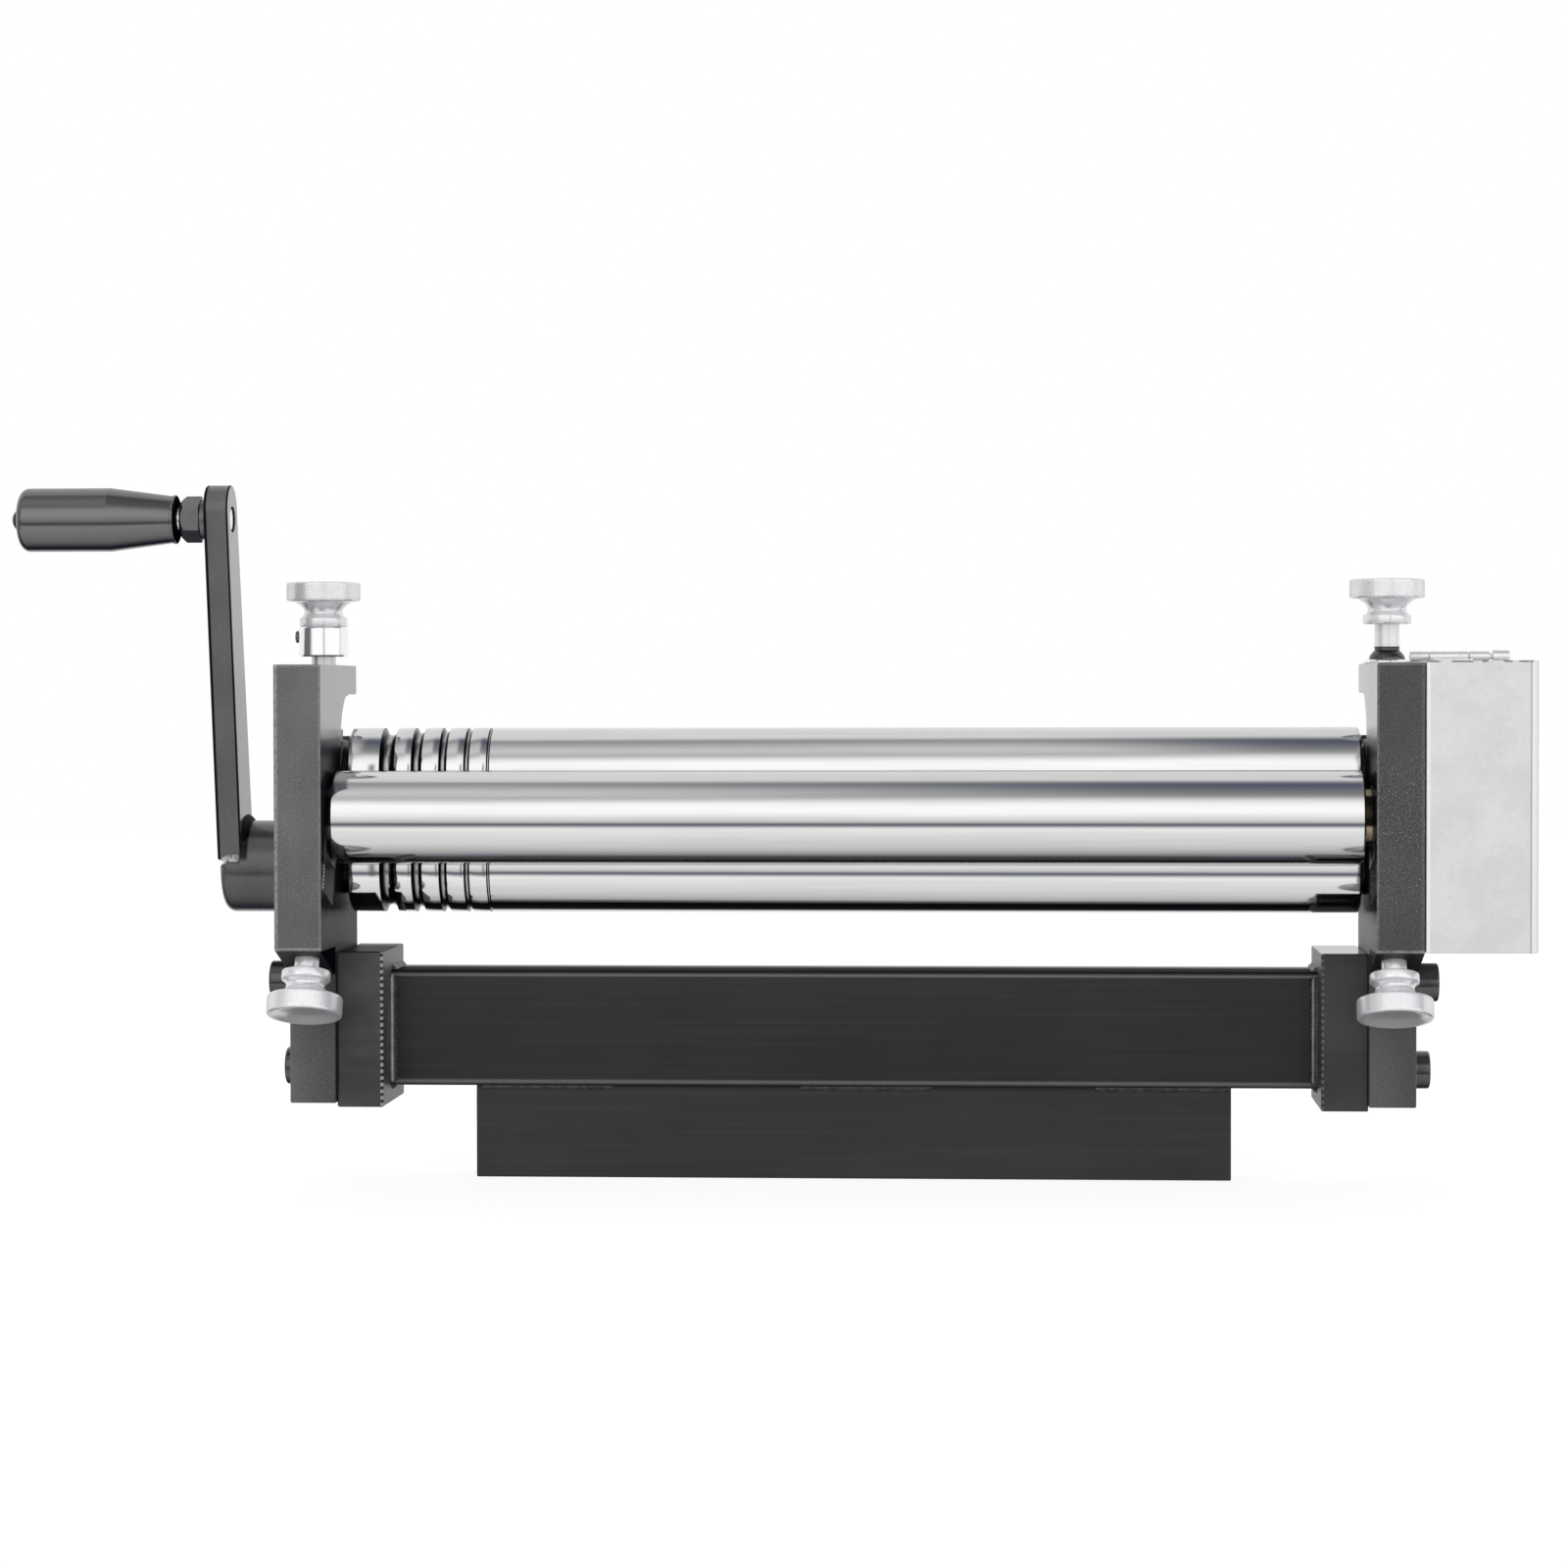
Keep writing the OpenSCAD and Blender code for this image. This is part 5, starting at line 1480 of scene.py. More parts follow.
    def stem(self, length: float) -> tuple[list[Span], Shape]:
        """Profile of a stem with its tip, and the function that cuts its thread.

        Args:
            length: Length from the collar to the tip's neck.

        Returns:
            The profile, and the shape that sinks a helix: depth * |sin(pi * (height / pitch - turn))|.
        """
        r = self.screw_d / 2
        neck_d, neck_h, button_d, button_h = self.tip
        low, edge = -length, self.tip_edge
        end = low - neck_h - button_h
        profile = [(end, 0.0), (end, button_d / 2 - edge), (end + edge, button_d / 2),
                   (low - neck_h, button_d / 2), (low - neck_h, neck_d / 2), (low, neck_d / 2),
                   (low, r - self.stem_edge)]
        rows = int(length / self.pitch * self.rows_per_turn)
        shank = np.linspace(low + self.stem_edge, self.stem_sunk, rows)
        profile += [(float(h), r) for h in shank] + [(self.stem_sunk, 0.0)]

        def cut(height: np.ndarray, radius: np.ndarray, angle: np.ndarray) -> np.ndarray:
            """Sinks the thread's helix into the stem.

            Args:
                height: Heights of the rows.
                radius: Radii before the cut.
                angle: Angles of the columns.

            Returns:
                The radii with the thread.
            """
            wave = np.abs(np.sin(math.pi * (height / self.pitch - angle / (2 * math.pi))))
            threaded = (radius > r - 1e-6) & (height < -self.shank)
            return radius - self.thread_depth * (1 - wave ** self.thread_curve) * threaded
        return profile, cut

    def screw(self, node: str, body: str, line: Line, stem: float) -> None:
        """Builds one thumb screw about its line, whose zero is the collar's face.

        Args:
            node: Its CAD node.
            body: Body that it rides on.
            line: Its axis.
            stem: Length of its stem.
        """
        surface = turned_surface(line, self.head(), self.knurls * 6, shape=self.knurl)
        profile, cut = self.stem(stem)
        surface.add(turn(line, profile, 40, shape=cut), close_columns=True)
        surface.piece(node + "_turned", node, body, SCREW_ZINC, 34)

    def sleeve(self) -> None:
        """Builds the stop collar and its grub screw."""
        r, bore, edge = self.sleeve_d / 2, self.screw_d / 2 + self.sleeve_play, self.sleeve_edge
        height = self.sleeve_h
        line = Line((-LAYOUT.plate_x, LAYOUT.pinch_y, LAYOUT.top_z + self.stem_show - height),
                    (0.0, 0.0, 1.0), (1.0, 0.0, 0.0))
        profile = [(0.0, bore), (0.0, r - edge), (edge, r), (height - edge, r), (height, r - edge),
                   (height, bore)]
        turned_surface(line, profile, 72, True).piece(
            "stop_collar_turned", "stop_collar", "upper_screw_l", ZINC)
        grub_x = -LAYOUT.plate_x - r - self.grub_proud
        grub = Line((grub_x + self.grub_len, LAYOUT.pinch_y, line.origin[2] + self.grub_up),
                    (-1.0, 0.0, 0.0), (0.0, 1.0, 0.0))
        af, ring, sunk = self.grub_socket
        grub_r, end, edge = self.grub_d / 2, self.grub_len, self.grub_edge
        profile = [(0.0, 0.0), (0.0, grub_r - edge), (edge, grub_r), (end - edge, grub_r),
                   (end, grub_r - edge), (end, ring), (end - sunk, ring), (end - sunk, 0.0)]
        turned_surface(grub, profile, 24, shape=socket(af, ring + 0.01)).piece(
            "stop_collar_grub_turned", "stop_collar_grub", "upper_screw_l", NUT_OXIDE)

    def lock(self) -> None:
        """Builds the domed lock nut and the bright washer under it."""
        start, rise, lip = self.nut_dome
        half = self.nut_d / 2
        ball = (half * half + rise * rise) / (2 * rise)
        bore = self.screw_d / 2 + self.nut_play
        hollow = self.nut_h - ball
        heights = np.concatenate([[0.0], np.linspace(start, rise, 12)])
        dome = [(float(h), min(half, math.sqrt(max(0.0, ball ** 2 - (h - hollow) ** 2)))) for h in heights]
        profile = [(0.0, bore)] + dome + [(lip, bore + self.mouth[0]), (rise, bore)]
        nut, washer = (Line((LAYOUT.plate_x, LAYOUT.pinch_y, z), (0.0, 0.0, 1.0), (1.0, 0.0, 0.0))
                       for z in (LAYOUT.top_z + self.washer_t, LAYOUT.top_z))
        turned_surface(nut, profile, 72, True, flats(self.nut_af, bore + self.mouth[1])).piece(
            "jam_nut_turned", "jam_nut", "frame", OXIDE)
        r, thick, edge = self.washer_d / 2, self.washer_t, self.washer_edge
        down, inwards = self.washer_bevel
        hole = bore + self.washer_play
        profile = [(0.0, hole), (0.0, r - edge), (edge, r), (thick - down, r), (thick, r - inwards),
                   (thick, hole)]
        turned_surface(washer, profile, 64, True).piece("jam_washer_turned", "jam_washer", "frame", ZINC)

    def make(self) -> None:
        """Builds the screws, the collar and the nut."""
        tilt = math.radians(LAYOUT.tilt)
        for side, letter, word in ((-1, "l", "left"), (1, "r", "right")):
            top = Line((side * LAYOUT.plate_x, LAYOUT.pinch_y, LAYOUT.top_z + self.stem_show),
                       (0.0, 0.0, 1.0), (1.0, 0.0, 0.0))
            self.screw(f"upper_screw_{word}", f"upper_screw_{letter}", top, self.upper_stem)
            down = (0.0, -math.sin(tilt), -math.cos(tilt))
            origin = (side * self.bend_x,
                      LAYOUT.bend_y + self.bend_offset * math.cos(tilt) + self.bend_collar_at * down[1],
                      LAYOUT.bend_z - self.bend_offset * math.sin(tilt) + self.bend_collar_at * down[2])
            self.screw(f"bending_screw_{word}", f"bending_screw_{letter}",
                       Line(origin, down, (1.0, 0.0, 0.0)), self.bend_stem)
        self.sleeve()
        self.lock()


def socket(across_flats: float, limit: float) -> Shape:
    """Makes the rows whose radius is below a limit hexagonal, down to the axis.

    Args:
        across_flats: Width of the hexagon.
        limit: Largest radius that still belongs to the socket.

    Returns:
        A shape for turn().
    """
    def shape(height: np.ndarray, radius: np.ndarray, angle: np.ndarray) -> np.ndarray:
        """Puts a hexagon in place of the small rings."""
        small = (radius < limit) & (radius > 1e-6)
        return np.where(small, hexagon(across_flats, angle) + 0 * radius, radius)
    return shape


@dataclass
class BaseFrame:
    """Side plates, end blocks, beam, bar, their welds, cap screws and the lower bushes."""

    plate_edge: float = 0.5
    block_edge: float = 0.6
    block_len: float = 15.0
    beam_z: Span = (30.5, 68.5)
    beam_y: Span = (-15.0, 12.5)
    corner: float = 2.5
    leg: float = 2.5
    low_leg: float = 1.5
    corner_run: float = 1.5
    bar_half: float = 10.0
    bar_len: float = 247.0
    bar_weld_share: float = 0.18
    bar_weld_in: float = 0.4
    bar_leg: float = 1.65
    bar_ripple: float = 1.9
    bar_weld_places: tuple[float, ...] = (-0.405, 0.02, 0.409)
    cap_head: Span = (12.4, 7.7)
    cap_edges: Span = (0.25, 0.8)
    cap_shank: Span = (8.0, 13.0)
    cap_shank_edge: float = 0.6
    cap_socket: Span = (6.0, 4.0)
    cap_mouth: tuple[Span, ...] = ((0.0, 3.75), (0.25, 3.6), (0.3, 3.5))
    cap_socket_limit: float = 3.55
    cap_places: tuple[Span, ...] = ((-23.5, 65.9), (3.4, 35.3))

    def beam_welds(self) -> None:
        """Builds the fillet beads at the beam's ends."""
        surface = Surface()
        x = LAYOUT.inner_x - self.block_len
        y0, y1 = self.beam_y[0] + self.corner, self.beam_y[1] - self.corner
        z0, z1 = self.beam_z
        for side in (-1, 1):
            back = (-float(side), 0.0, 0.0)
            Fillet((side * x, y0, z1), (side * x, y1, z1), back, (0, 0, 1), self.low_leg).add_to(surface)
            Fillet((side * x, y0, z0), (side * x, y1, z0), back, (0, 0, -1), self.low_leg).add_to(surface)
            low, high = z0 + self.corner - self.corner_run, z1 - self.corner + self.corner_run
            Fillet((side * x, self.beam_y[0], low), (side * x, self.beam_y[0], high), back, (0, -1, 0),
                   self.leg).add_to(surface)
        surface.piece("beam_welds_laid", "beam_welds", "frame", BEAM_BEAD, 60)

    def bar_welds(self) -> None:
        """Builds the stitch beads that hold the bar under the beam."""
        surface = Surface()
        half = self.bar_weld_share * self.bar_len / 2
        for place in self.bar_weld_places:
            for side in (-1, 1):
                x, y = place * self.bar_len, side * (self.bar_half - self.bar_weld_in)
                Fillet((x - half, y, self.beam_z[0]), (x + half, y, self.beam_z[0]), (0, float(side), 0),
                       (0, 0, -1), self.bar_leg, self.bar_ripple).add_to(surface)
        surface.piece("bar_welds_laid", "bar_welds", "frame", BAR_BEAD, 60)

    def cap_screws(self) -> None:
        """Builds the four socket cap screws as one piece."""
        surface = Surface()
        r, h = self.cap_head[0] / 2, self.cap_head[1]
        af, sink = self.cap_socket
        low_edge, edge = self.cap_edges
        rod, rod_edge = self.cap_shank[0] / 2, self.cap_shank_edge
        grip = self.cap_shank[1] + LAYOUT.outer_x - LAYOUT.inner_x
        profile = [(-grip, 0.0), (-grip, rod - rod_edge), (-grip + rod_edge, rod), (0.0, rod),
                   (0.0, r - low_edge), (low_edge, r), (h - edge, r)]
        profile += arc((h - edge, r - edge), edge, 90, 0, 4)[1:]
        profile += [(h - down, ring) for down, ring in self.cap_mouth]
        profile += [(h - sink, self.cap_mouth[-1][1]), (h - sink, 0.0)]
        hexed = socket(af, self.cap_socket_limit)
        for side in (-1, 1):
            for y, z in self.cap_places:
                line = Line((side * LAYOUT.outer_x, y, z), (float(side), 0.0, 0.0), (0.0, 1.0, 0.0))
                surface.add(turn(line, profile, 60, shape=hexed), close_columns=True)
        surface.piece("cap_screws_turned", "cap_screws", "frame", OXIDE)

    def make(self) -> None:
        """Builds the frame's pieces."""
        soften("left_side_plate", "frame", PLATE_LEFT_LIT, self.plate_edge)
        soften("right_side_plate", "frame", PLATE_RIGHT_SHADED, self.plate_edge)
        soften("left_end_block", "frame", BLOCK_LEFT, self.block_edge)
        soften("right_end_block", "frame", BLOCK_RIGHT, self.block_edge)
        soften("base_beam", "frame", BEAM_PAINT, 0)
        soften("vise_bar", "frame", BAR_PAINT, 0.3, sharp=20)
        self.beam_welds()
        self.bar_welds()
        self.cap_screws()
        for side in ("left", "right"):
            soften(f"lower_bush_{side}", "frame", BRONZE, 0.2)


@dataclass
class Bearings:
    """Bearing blocks and bushes of the upper roller and of the bending roller."""

    def make(self) -> None:
        """Builds the blocks and the bushes on their carriages."""
        for side in ("left", "right"):
            for kind, body in (("upper", "upper_carriage"), ("bending", "bending_carriage")):
                soften(f"{kind}_block_{side}", body, BLOCK_STEEL, 0.25)
                soften(f"{kind}_bush_{side}", body, BENDING_BRONZE if kind == "bending" else BRONZE, 0.2)


@dataclass
class Gears:
    """The gear pair with keys, washers and end screws, inside the guard."""

    def make(self) -> None:
        """Builds the gears and what holds them."""
        for kind in ("upper", "lower"):
            body = f"{kind}_roll"
            soften(f"{kind}_gear", body, GEAR_STEEL, 0.15)
            soften(f"{kind}_gear_key", body, KEY_STEEL, 0.2)
            soften(f"{kind}_gear_washer", body, ZINC, 0.2)
            soften(f"{kind}_gear_screw", body, OXIDE, 0.25)


@dataclass
class Crank:
    """Hub, arm, weld, set screw, and the handle with its nut, washer, spindle and grip."""

    radius: float = 115.3
    lean: float = 11.5
    arm_outer_x: float = -206.9
    arm_t: float = 8.0
    arm_root_w: float = 20.5
    arm_root: float = 4.4
    hub_d: float = 30.0
    hub_outer_x: float = -205.7
    leg: float = 2.0
    side_leg_share: float = 0.95
    ripples: Span = (1.3, 1.4)
    ring_share: float = 0.98
    ring_bow: float = 0.4
    ring_swell: Span = (0.9, 0.1)
    ring_taper: Triple = (0.06, 0.15, 0.5)
    ring_bulge: float = 1.4
    ring_sunk: float = 0.05
    washer: Span = (13.0, 2.0)
    washer_edge: float = 0.3
    nut_af: float = 13.0
    nut_h: float = 6.5
    nut_cone: Span = (1.6, 0.45)
    mouth: Span = (0.5, 0.6)
    rod_bore: float = 4.02
    rod_d: float = 8.0
    rod_edge: float = 0.8
    rod_sunk: float = 0.5
    rod_head: Span = (12.0, 4.0)
    rod_head_edges: Span = (0.3, 0.5)
    rod_dome: float = 3.0
    grip_gap: float = 1.6
    grip_len: float = 51.0
    grip_d: float = 20.6
    grip_end_d: float = 15.5
    grip_round_len: float = 29.6
    grip_ring: tuple[Span, ...] = ((0.0, -0.2), (0.25, 0.2), (0.9, 0.2), (1.1, -0.15), (1.5, -0.1))
    grip_round: float = 3.0
    grip_bore: float = 4.1
    grip_recess: Triple = (6.4, 6.2, 4.4)
    grip_recess_edge: float = 0.2

    @property
    def handle(self) -> Span:
        """Depth and height of the handle's axis."""
        lean = math.radians(self.lean)
        return (LAYOUT.pinch_y - self.radius * math.sin(lean), LAYOUT.lower_z + self.radius * math.cos(lean))

    def outwards(self, x: float) -> Line:
        """The handle's line from x towards the free end."""
        return Line((x, *self.handle), (-1.0, 0.0, 0.0), (0.0, 1.0, 0.0))

    def arm_point(self, x: float, across: float, up: float) -> Triple:
        """A point given in the arm's own frame, whose height runs along the arm.

        Args:
            x: Place along the rollers.
            across: Distance from the arm's middle.
            up: Height along the arm from the roller's axis.

        Returns:
            The point.
        """
        lean = math.radians(self.lean)
        return (x, LAYOUT.pinch_y + across * math.cos(lean) - up * math.sin(lean),
                LAYOUT.lower_z + across * math.sin(lean) + up * math.cos(lean))

    def weld(self) -> None:
        """Builds the beads beside the arm's foot, and the one round the hub at its inner face."""
        surface = Surface()
        lean = math.radians(self.lean)
        up = (0.0, -math.sin(lean), math.cos(lean))
        x0, x1 = self.hub_outer_x, self.arm_outer_x + self.arm_t
        for s in (-1, 1):
            across = (0.0, s * math.cos(lean), s * math.sin(lean))
            edge = s * self.arm_root_w / 2
            Fillet(self.arm_point(x0, edge, self.arm_root), self.arm_point(x1, edge, self.arm_root),
                   across, up, self.leg * self.side_leg_share, self.ripples[0]).add_to(surface)
        r, foot, rows, columns = self.hub_d / 2, self.arm_root_w / 2, 44, 9
        reach = math.asin(foot / r) * self.ring_share
        turn_at = np.linspace(-reach, reach, rows)[:, None]
        t = np.linspace(0, 1, columns)[None, :]
        crescent = turn_at * r / self.ripples[1] + self.ring_bow * (2 * t - 1) ** 2
        swell = self.ring_swell[0] + self.ring_swell[1] * np.sqrt(np.abs(np.sin(math.pi * crescent)))
        run_out, least, curve = self.ring_taper
        leg = self.leg * swell * np.clip((reach - np.abs(turn_at)) / run_out, least, 1) ** curve
        out = r + leg * np.sin(t * math.pi / 2) ** self.ring_bulge
        x = x1 + leg * np.cos(t * math.pi / 2) ** self.ring_bulge
        out = np.concatenate([out, np.full((rows, 1), r - self.ring_sunk)], 1)
        x = np.concatenate([x, np.full((rows, 1), x1 - self.ring_sunk)], 1)
        across, high = out * np.sin(turn_at), out * np.cos(turn_at)
        points = np.stack([x, LAYOUT.pinch_y + across * math.cos(lean) - high * math.sin(lean),
                           LAYOUT.lower_z + across * math.sin(lean) + high * math.cos(lean)], -1)
        ends = [np.repeat(points[k].mean(0)[None], columns + 1, 0)[None] for k in (0, -1)]
        surface.add(np.concatenate([ends[0], points, ends[1]], 0)[:, ::-1], close_columns=True)
        surface.piece("crank_weld_laid", "crank_weld", "lower_roll", CRANK_BEAD, 60)

    def fasteners(self) -> None:
        """Builds the handle's nut, washer and spindle."""
        start = self.outwards(self.arm_outer_x)
        bore, edge = self.rod_bore, self.washer_edge
        r, thick = self.washer[0] / 2, self.washer[1]
        profile = [(0.0, bore), (0.0, r - edge), (edge, r), (thick - edge, r), (thick, r - edge),
                   (thick, bore)]
        turned_surface(start, profile, 60, True).piece("handle_washer_turned", "handle_washer",
                                                       "lower_roll", NUT_OXIDE)
        corner = self.nut_af / math.cos(math.pi / 6) / 2
        cone_h, face = self.nut_cone[0], self.nut_af * self.nut_cone[1]
        profile = [(0.0, bore), (0.0, corner)]
        profile += [(self.nut_h - cone_h + cone_h * s, corner + (face - corner) * s)
                    for s in np.linspace(0, 1, 9)]
        profile += [(self.nut_h, bore + self.mouth[0]), (self.nut_h - self.mouth[0], bore)]
        nut = self.outwards(self.arm_outer_x - thick)
        turned_surface(nut, profile, 96, True, flats(self.nut_af, bore + self.mouth[1])).piece(
            "handle_nut_turned", "handle_nut", "lower_roll", NUT_OXIDE)
        rod, head, head_t = self.rod_d / 2, self.rod_head[0] / 2, self.rod_head[1]
        low_edge, high_edge = self.rod_head_edges
        rod_x = self.arm_outer_x + self.arm_t - self.rod_sunk
        rod_len = rod_x - (self.arm_outer_x - thick - self.nut_h - self.grip_gap - self.grip_len + head_t)
        ball = (rod ** 2 + self.rod_dome ** 2) / (2 * self.rod_dome)
        dome = [(rod_len + head_t + h, math.sqrt(max(0.0, ball ** 2 - (h - self.rod_dome + ball) ** 2)))
                for h in np.linspace(0, self.rod_dome, 9)]
        profile = [(0.0, 0.0), (0.0, rod - self.rod_edge), (self.rod_edge, rod), (rod_len, rod),
                   (rod_len, head - low_edge), (rod_len + low_edge, head),
                   (rod_len + head_t - high_edge, head), (rod_len + head_t, head - high_edge)] + dome
        piece = turned_surface(self.outwards(rod_x), profile, 48).piece(
            "handle_spindle_turned", "handle_spindle", "lower_roll", ZINC)
        # Painted shade on the spindle's outer half, inside the grip and its recess.
        mark(piece, "wall", lambda points: (points[:, 0] < rod_x - rod_len / 2).astype(float))

    def grip(self) -> None:
        """Builds the grip: a ring and a taper, then a round part with a rounded end, all bored."""
        r, end_r, bore, bend = self.grip_d / 2, self.grip_end_d / 2, self.grip_bore, self.grip_round
        length, cone_end = self.grip_len, self.grip_len - self.grip_round_len
        x = self.arm_outer_x - self.washer[1] - self.nut_h - self.grip_gap
        profile = [(0.0, bore)] + [(along, end_r + proud) for along, proud in self.grip_ring]
        profile += [(cone_end, r), (length - bend, r)]
        profile += arc((length - bend, r - bend), bend, 90, 0, 24)[1:]
        mouth_r, recess_r, recess = self.grip_recess
        profile += [(length, mouth_r), (length - self.grip_recess_edge, recess_r),
                    (length - recess, recess_r), (length - recess, bore)]
        piece = turned_surface(self.outwards(x), profile, 96, True).piece(
            "handle_grip_moulded", "handle_grip", "grip", GRIP, 5)
        # Painted shade on the grip's inner end face, against the nut.
        mark(piece, "wall", lambda points: (points[:, 0] > x - 0.1).astype(float))

    def make(self) -> None:
        """Builds the crank's pieces."""
        rim = BigEdge(self.hub_outer_x, (LAYOUT.pinch_y, LAYOUT.lower_z), self.hub_d / 2, 3.2)
        soften("crank_hub", "lower_roll", HUB_PAINT, 0.4, 3, big=rim)
        soften("crank_arm", "lower_roll", ARM_PAINT, 0.5, 3)
        soften("crank_hub_screw", "lower_roll", OXIDE, 0.2)
        self.weld()
        self.fasteners()
        self.grip()


@dataclass
class Guard:
    """The gear guard's fixed box with its screws, the rear door, and the hinge between them."""

    def make(self) -> None:
        """Builds the guard's pieces."""
        soften("guard_cover", "frame", GUARD, 0.3)
        soften("guard_screws", "frame", HINGE_STEEL, 0.2)
        soften("hinge_top_leaf", "frame", HINGE_STEEL, 0.12)
        soften("hinge_top_rivets", "frame", HINGE_STEEL, 0.1)
        soften("hinge_pin", "frame", HINGE_STEEL, 0.25)
        soften("guard_door", "door", GUARD, 0.3)
        soften("hinge_door_leaf", "door", HINGE_STEEL, 0.12)
        soften("hinge_door_rivets", "door", HINGE_STEEL, 0.2)


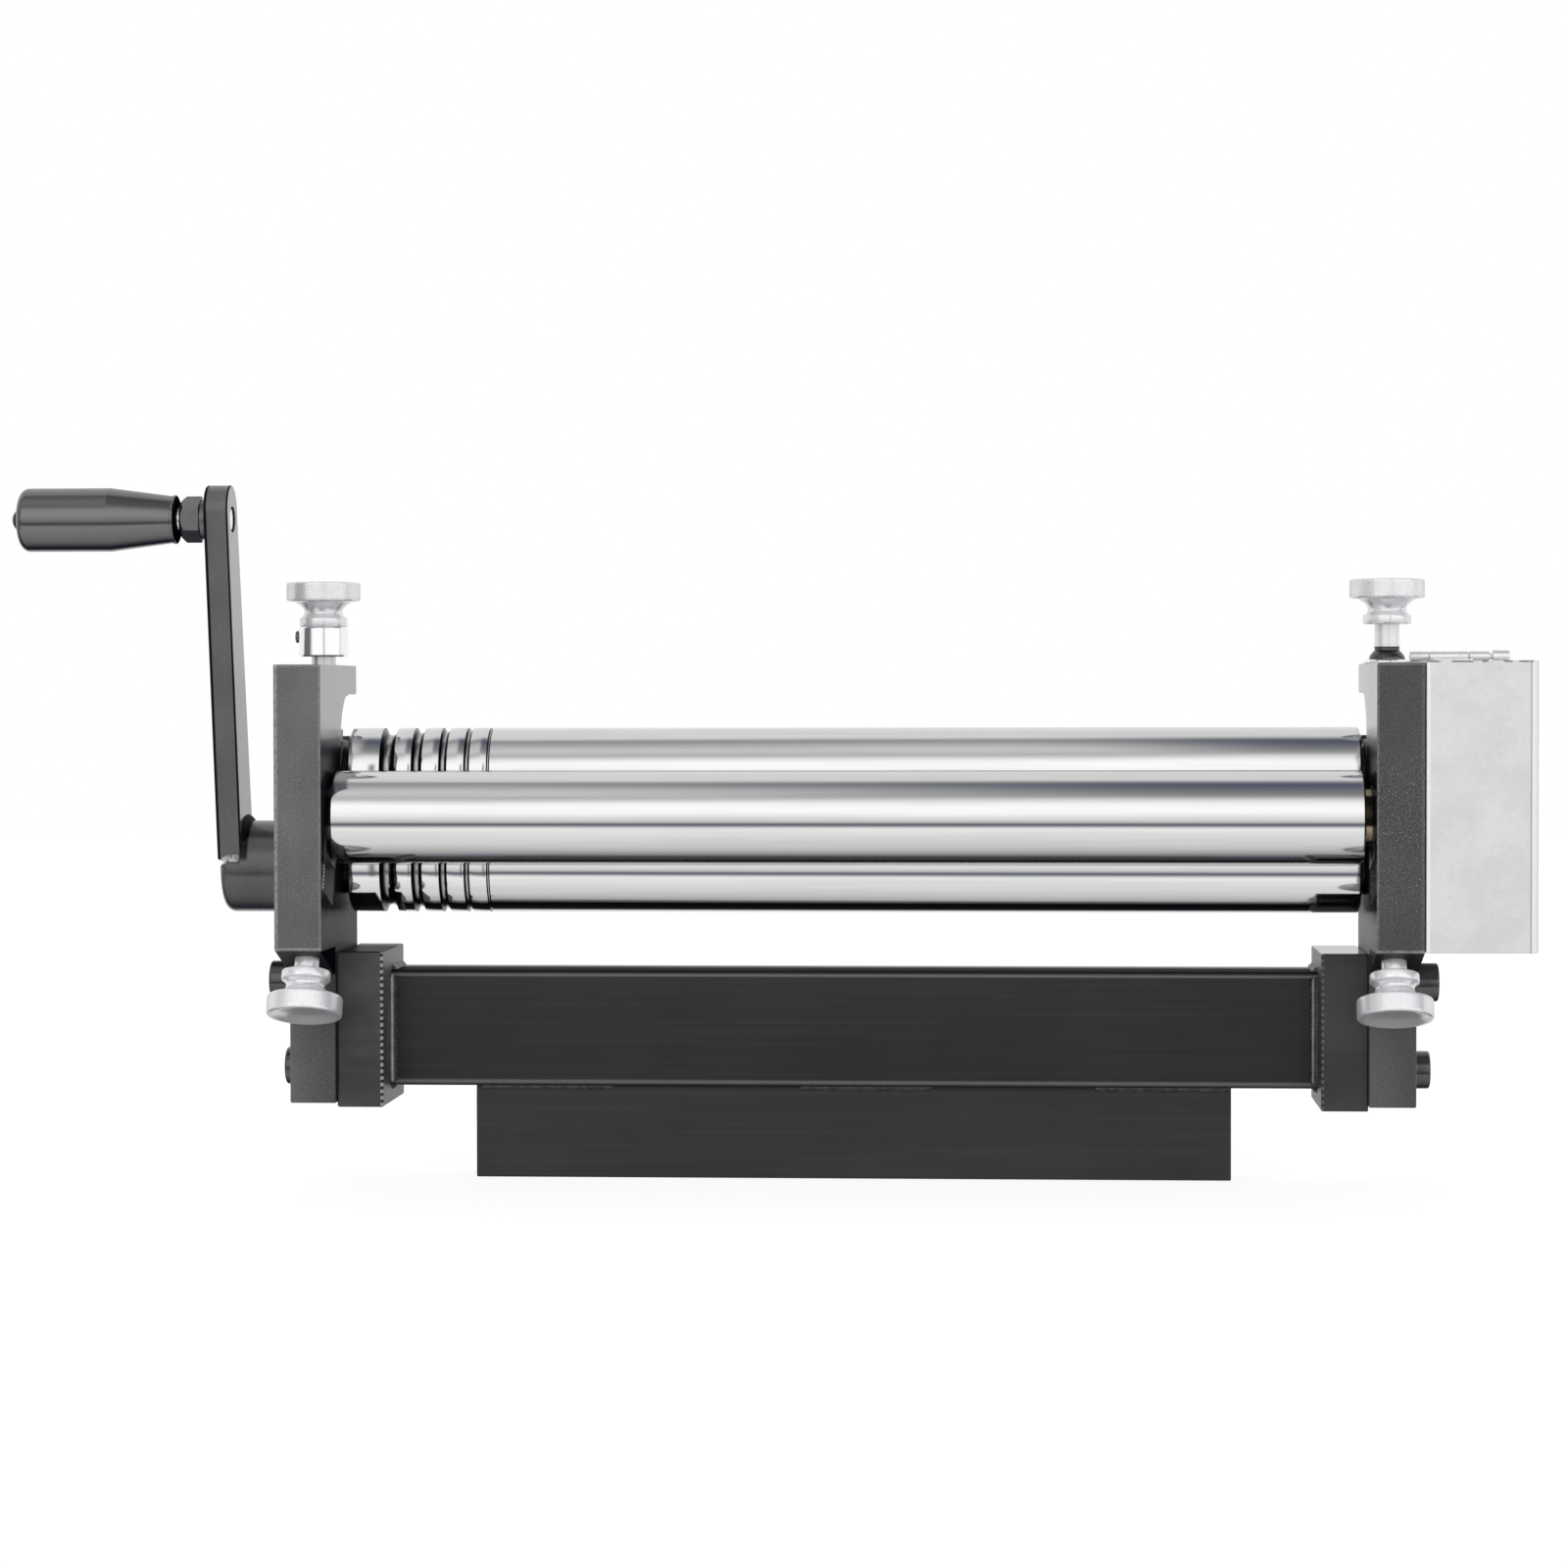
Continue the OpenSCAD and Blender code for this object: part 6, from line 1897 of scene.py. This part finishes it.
@dataclass
class Studio:
    """Camera, soft light all round, and a pale floor.

    The light has the bands of a photographer's tent: each is an angle in degrees, counted from
    the front upwards and round to the rear, with the brightness that polished metal shows of it.
    """

    camera_at: Triple = (55.4759, -1299.9684, 158.5074)
    yaw: float = 0.0600
    pitch: float = 0.0226
    roll: float = -0.0016
    lens: float = 90.80
    sensor: float = 36.0
    floor_size: float = 6.0
    floor_z: float = -0.0002
    floor_grey: float = 0.65
    floor_faint: float = 0.24
    floor_glow: float = 0.86
    below: tuple[Span, ...] = (
        (-180, 1.0), (-150, 0.95), (-142, 0.6), (-138, 0.02), (-126, 0.02), (-116, 0.07), (-108, 0.22),
        (-100, 0.43), (-92, 0.60), (-85, 0.73), (-79, 0.83), (-67, 0.95), (-45, 1.1), (-35, 1.16),
        (-29.5, 1.27), (-25, 1.1), (-20, 0.40), (-17, 0.2), (-14.5, 0.22), (-10.5, 0.75), (-5.6, 0.98),
        (0, 1.12), (5, 1.26), (10, 1.43), (20, 1.5))
    split: float = 20.0
    above: tuple[Span, ...] = (
        (20, 1.5), (28, 1.5), (34, 1.36), (39, 1.16), (44, 0.85), (50, 0.68), (57, 0.82), (66, 0.84),
        (75, 0.70), (82, 0.56), (89, 0.44), (95, 0.48), (101, 0.86), (107, 0.98), (180, 1.0))
    dim_above: tuple[Span, ...] = (
        (20, 1.5), (28, 1.5), (34, 1.38), (39, 1.25), (44, 1.08), (49, 0.8), (54, 0.48), (62, 0.32),
        (75, 0.22), (88, 0.15), (95, 0.24), (102, 0.62), (108, 0.95), (180, 1.0))
    tint: Triple = (0.62, 0.85, 1.6)
    tinted_below: float = 0.3
    dark_strip: tuple[float, float, float, float] = (0.08, 0.08, 0.09, 1.0)
    slot: Span = (0.19, 0.09)
    slot_share: float = 0.85
    side: Span = (-1.40, -0.80)
    side_share: float = 0.6

    def camera(self) -> None:
        """Places the camera at the photograph's viewing angle."""
        forward = np.array([-math.sin(self.yaw), math.cos(self.yaw), 0.0])
        right = np.array([math.cos(self.yaw), math.sin(self.yaw), 0.0])
        up = np.array([0.0, 0.0, 1.0])
        ahead = math.cos(self.pitch) * forward - math.sin(self.pitch) * up
        over = math.sin(self.pitch) * forward + math.cos(self.pitch) * up
        side = math.cos(self.roll) * right + math.sin(self.roll) * over
        top = -math.sin(self.roll) * right + math.cos(self.roll) * over
        matrix = np.eye(4)
        matrix[:3, 0], matrix[:3, 1], matrix[:3, 2] = side, top, -ahead
        matrix[:3, 3] = np.array(self.camera_at) * MM
        data = bpy.data.cameras.new("camera")
        data.lens, data.sensor_width = self.lens, self.sensor
        camera = bpy.data.objects.new("camera", data)
        bpy.context.scene.collection.objects.link(camera)
        camera.matrix_world = Matrix(matrix.tolist())
        bpy.context.scene.camera = camera

    def band_ramp(self, graph: Graph, share: Amount, bands: Sequence[Span]) -> bpy.types.NodeSocket:
        """A ramp of the bands' brightness, halved so that a ramp's colour can hold it.

        Args:
            graph: The world's graph.
            share: Angle as a share of a full turn.
            bands: Angle and brightness of each band.

        Returns:
            The ramp's colour.
        """
        stops = []
        for angle, light in bands:
            deep = max(0.0, 1 - light / self.tinted_below)
            tint = [1 + (t - 1) * deep for t in self.tint]
            stops.append(((angle + 180) / 360, (*[light / 2 * t for t in tint], 1.0)))
        return graph.add("ShaderNodeValToRGB", {"stops": stops}, {0: share}).outputs[0]

    def light(self) -> None:
        """Lights the scene from all round with the tent, and shows plain white to the camera only."""
        world = bpy.data.worlds.new("tent")
        bpy.context.scene.world = world
        world.use_nodes = True
        graph = Graph(world.node_tree)
        x, y, z = graph.axes(graph.add("ShaderNodeTexCoord").outputs["Generated"])
        share = z.math("ARCTAN2", z, 0 - y) / (2 * math.pi) + 0.5
        below = self.band_ramp(graph, share, self.below)
        above = graph.mix(x.rise(-0.14, 0.06), self.band_ramp(graph, share, self.above),
                          self.band_ramp(graph, share, self.dim_above))
        colour = graph.mix(share.math("GREATER_THAN", share, self.split / 360 + 0.5), below, above)
        level = abs(z).rise(0.5, 0.3)
        round_about = x.math("ARCTAN2", x, 0 - y)
        slot = x.near(*self.slot) * (0 - y).rise(0.4, 0.7)
        side = round_about.rise(self.side[0] - 0.1, self.side[0]) * round_about.rise(
            self.side[1] + 0.06, self.side[1] - 0.06)
        strips = (slot * self.slot_share + side * self.side_share) * level
        colour = graph.mix(strips, colour, self.dark_strip)
        bands = graph.add("ShaderNodeBackground", None, {"Color": colour, "Strength": 2.0})
        white = graph.add("ShaderNodeBackground", None, {"Color": (1, 1, 1, 1), "Strength": 1.0})
        seen = graph.add("ShaderNodeLightPath").outputs["Is Camera Ray"]
        both = graph.add("ShaderNodeMixShader", None,
                         {0: seen, 1: bands.outputs[0], 2: white.outputs[0]})
        graph.add("ShaderNodeOutputWorld", None, {"Surface": both.outputs[0]})

    def floor(self) -> None:
        """Lays the floor under the bar: white to the camera, with the machine's soft shadow."""
        half, z = self.floor_size / 2, self.floor_z
        mesh = bpy.data.meshes.new("floor")
        mesh.from_pydata([(-half, -half, z), (half, -half, z), (half, half, z), (-half, half, z)], [],
                         [(0, 1, 2, 3)])
        material = bpy.data.materials.new("floor_white")
        material.use_nodes = True
        graph = Graph(material.node_tree)
        matt, faint = (graph.add("ShaderNodeBsdfDiffuse", None, {"Color": (grey, grey, grey, 1.0)})
                       for grey in (self.floor_grey, self.floor_faint))
        glow = graph.add("ShaderNodeEmission", None, {"Color": (1, 1, 1, 1), "Strength": self.floor_glow})
        shown = graph.add("ShaderNodeAddShader", None, {0: faint.outputs[0], 1: glow.outputs[0]})
        seen = graph.add("ShaderNodeLightPath").outputs["Is Camera Ray"]
        both = graph.add("ShaderNodeMixShader", None, {0: seen, 1: matt.outputs[0], 2: shown.outputs[0]})
        graph.add("ShaderNodeOutputMaterial", None, {"Surface": both.outputs[0]})
        mesh.materials.append(material)
        floor = bpy.data.objects.new("floor", mesh)
        bpy.context.scene.collection.objects.link(floor)
        floor.visible_glossy = False

    def make(self) -> None:
        """Sets up camera, light and floor."""
        self.camera()
        self.light()
        self.floor()
        bpy.context.scene.view_settings.view_transform = "Standard"


def main() -> None:
    """Builds the machine's sub-assemblies in order and reports each piece."""
    logging.basicConfig(level=logging.INFO, format="%(message)s")
    Studio().make()
    BaseFrame().make()
    Rollers().make()
    Bearings().make()
    ThumbScrews().make()
    Gears().make()
    Crank().make()
    Guard().make()


if __name__ == "__main__":
    main()
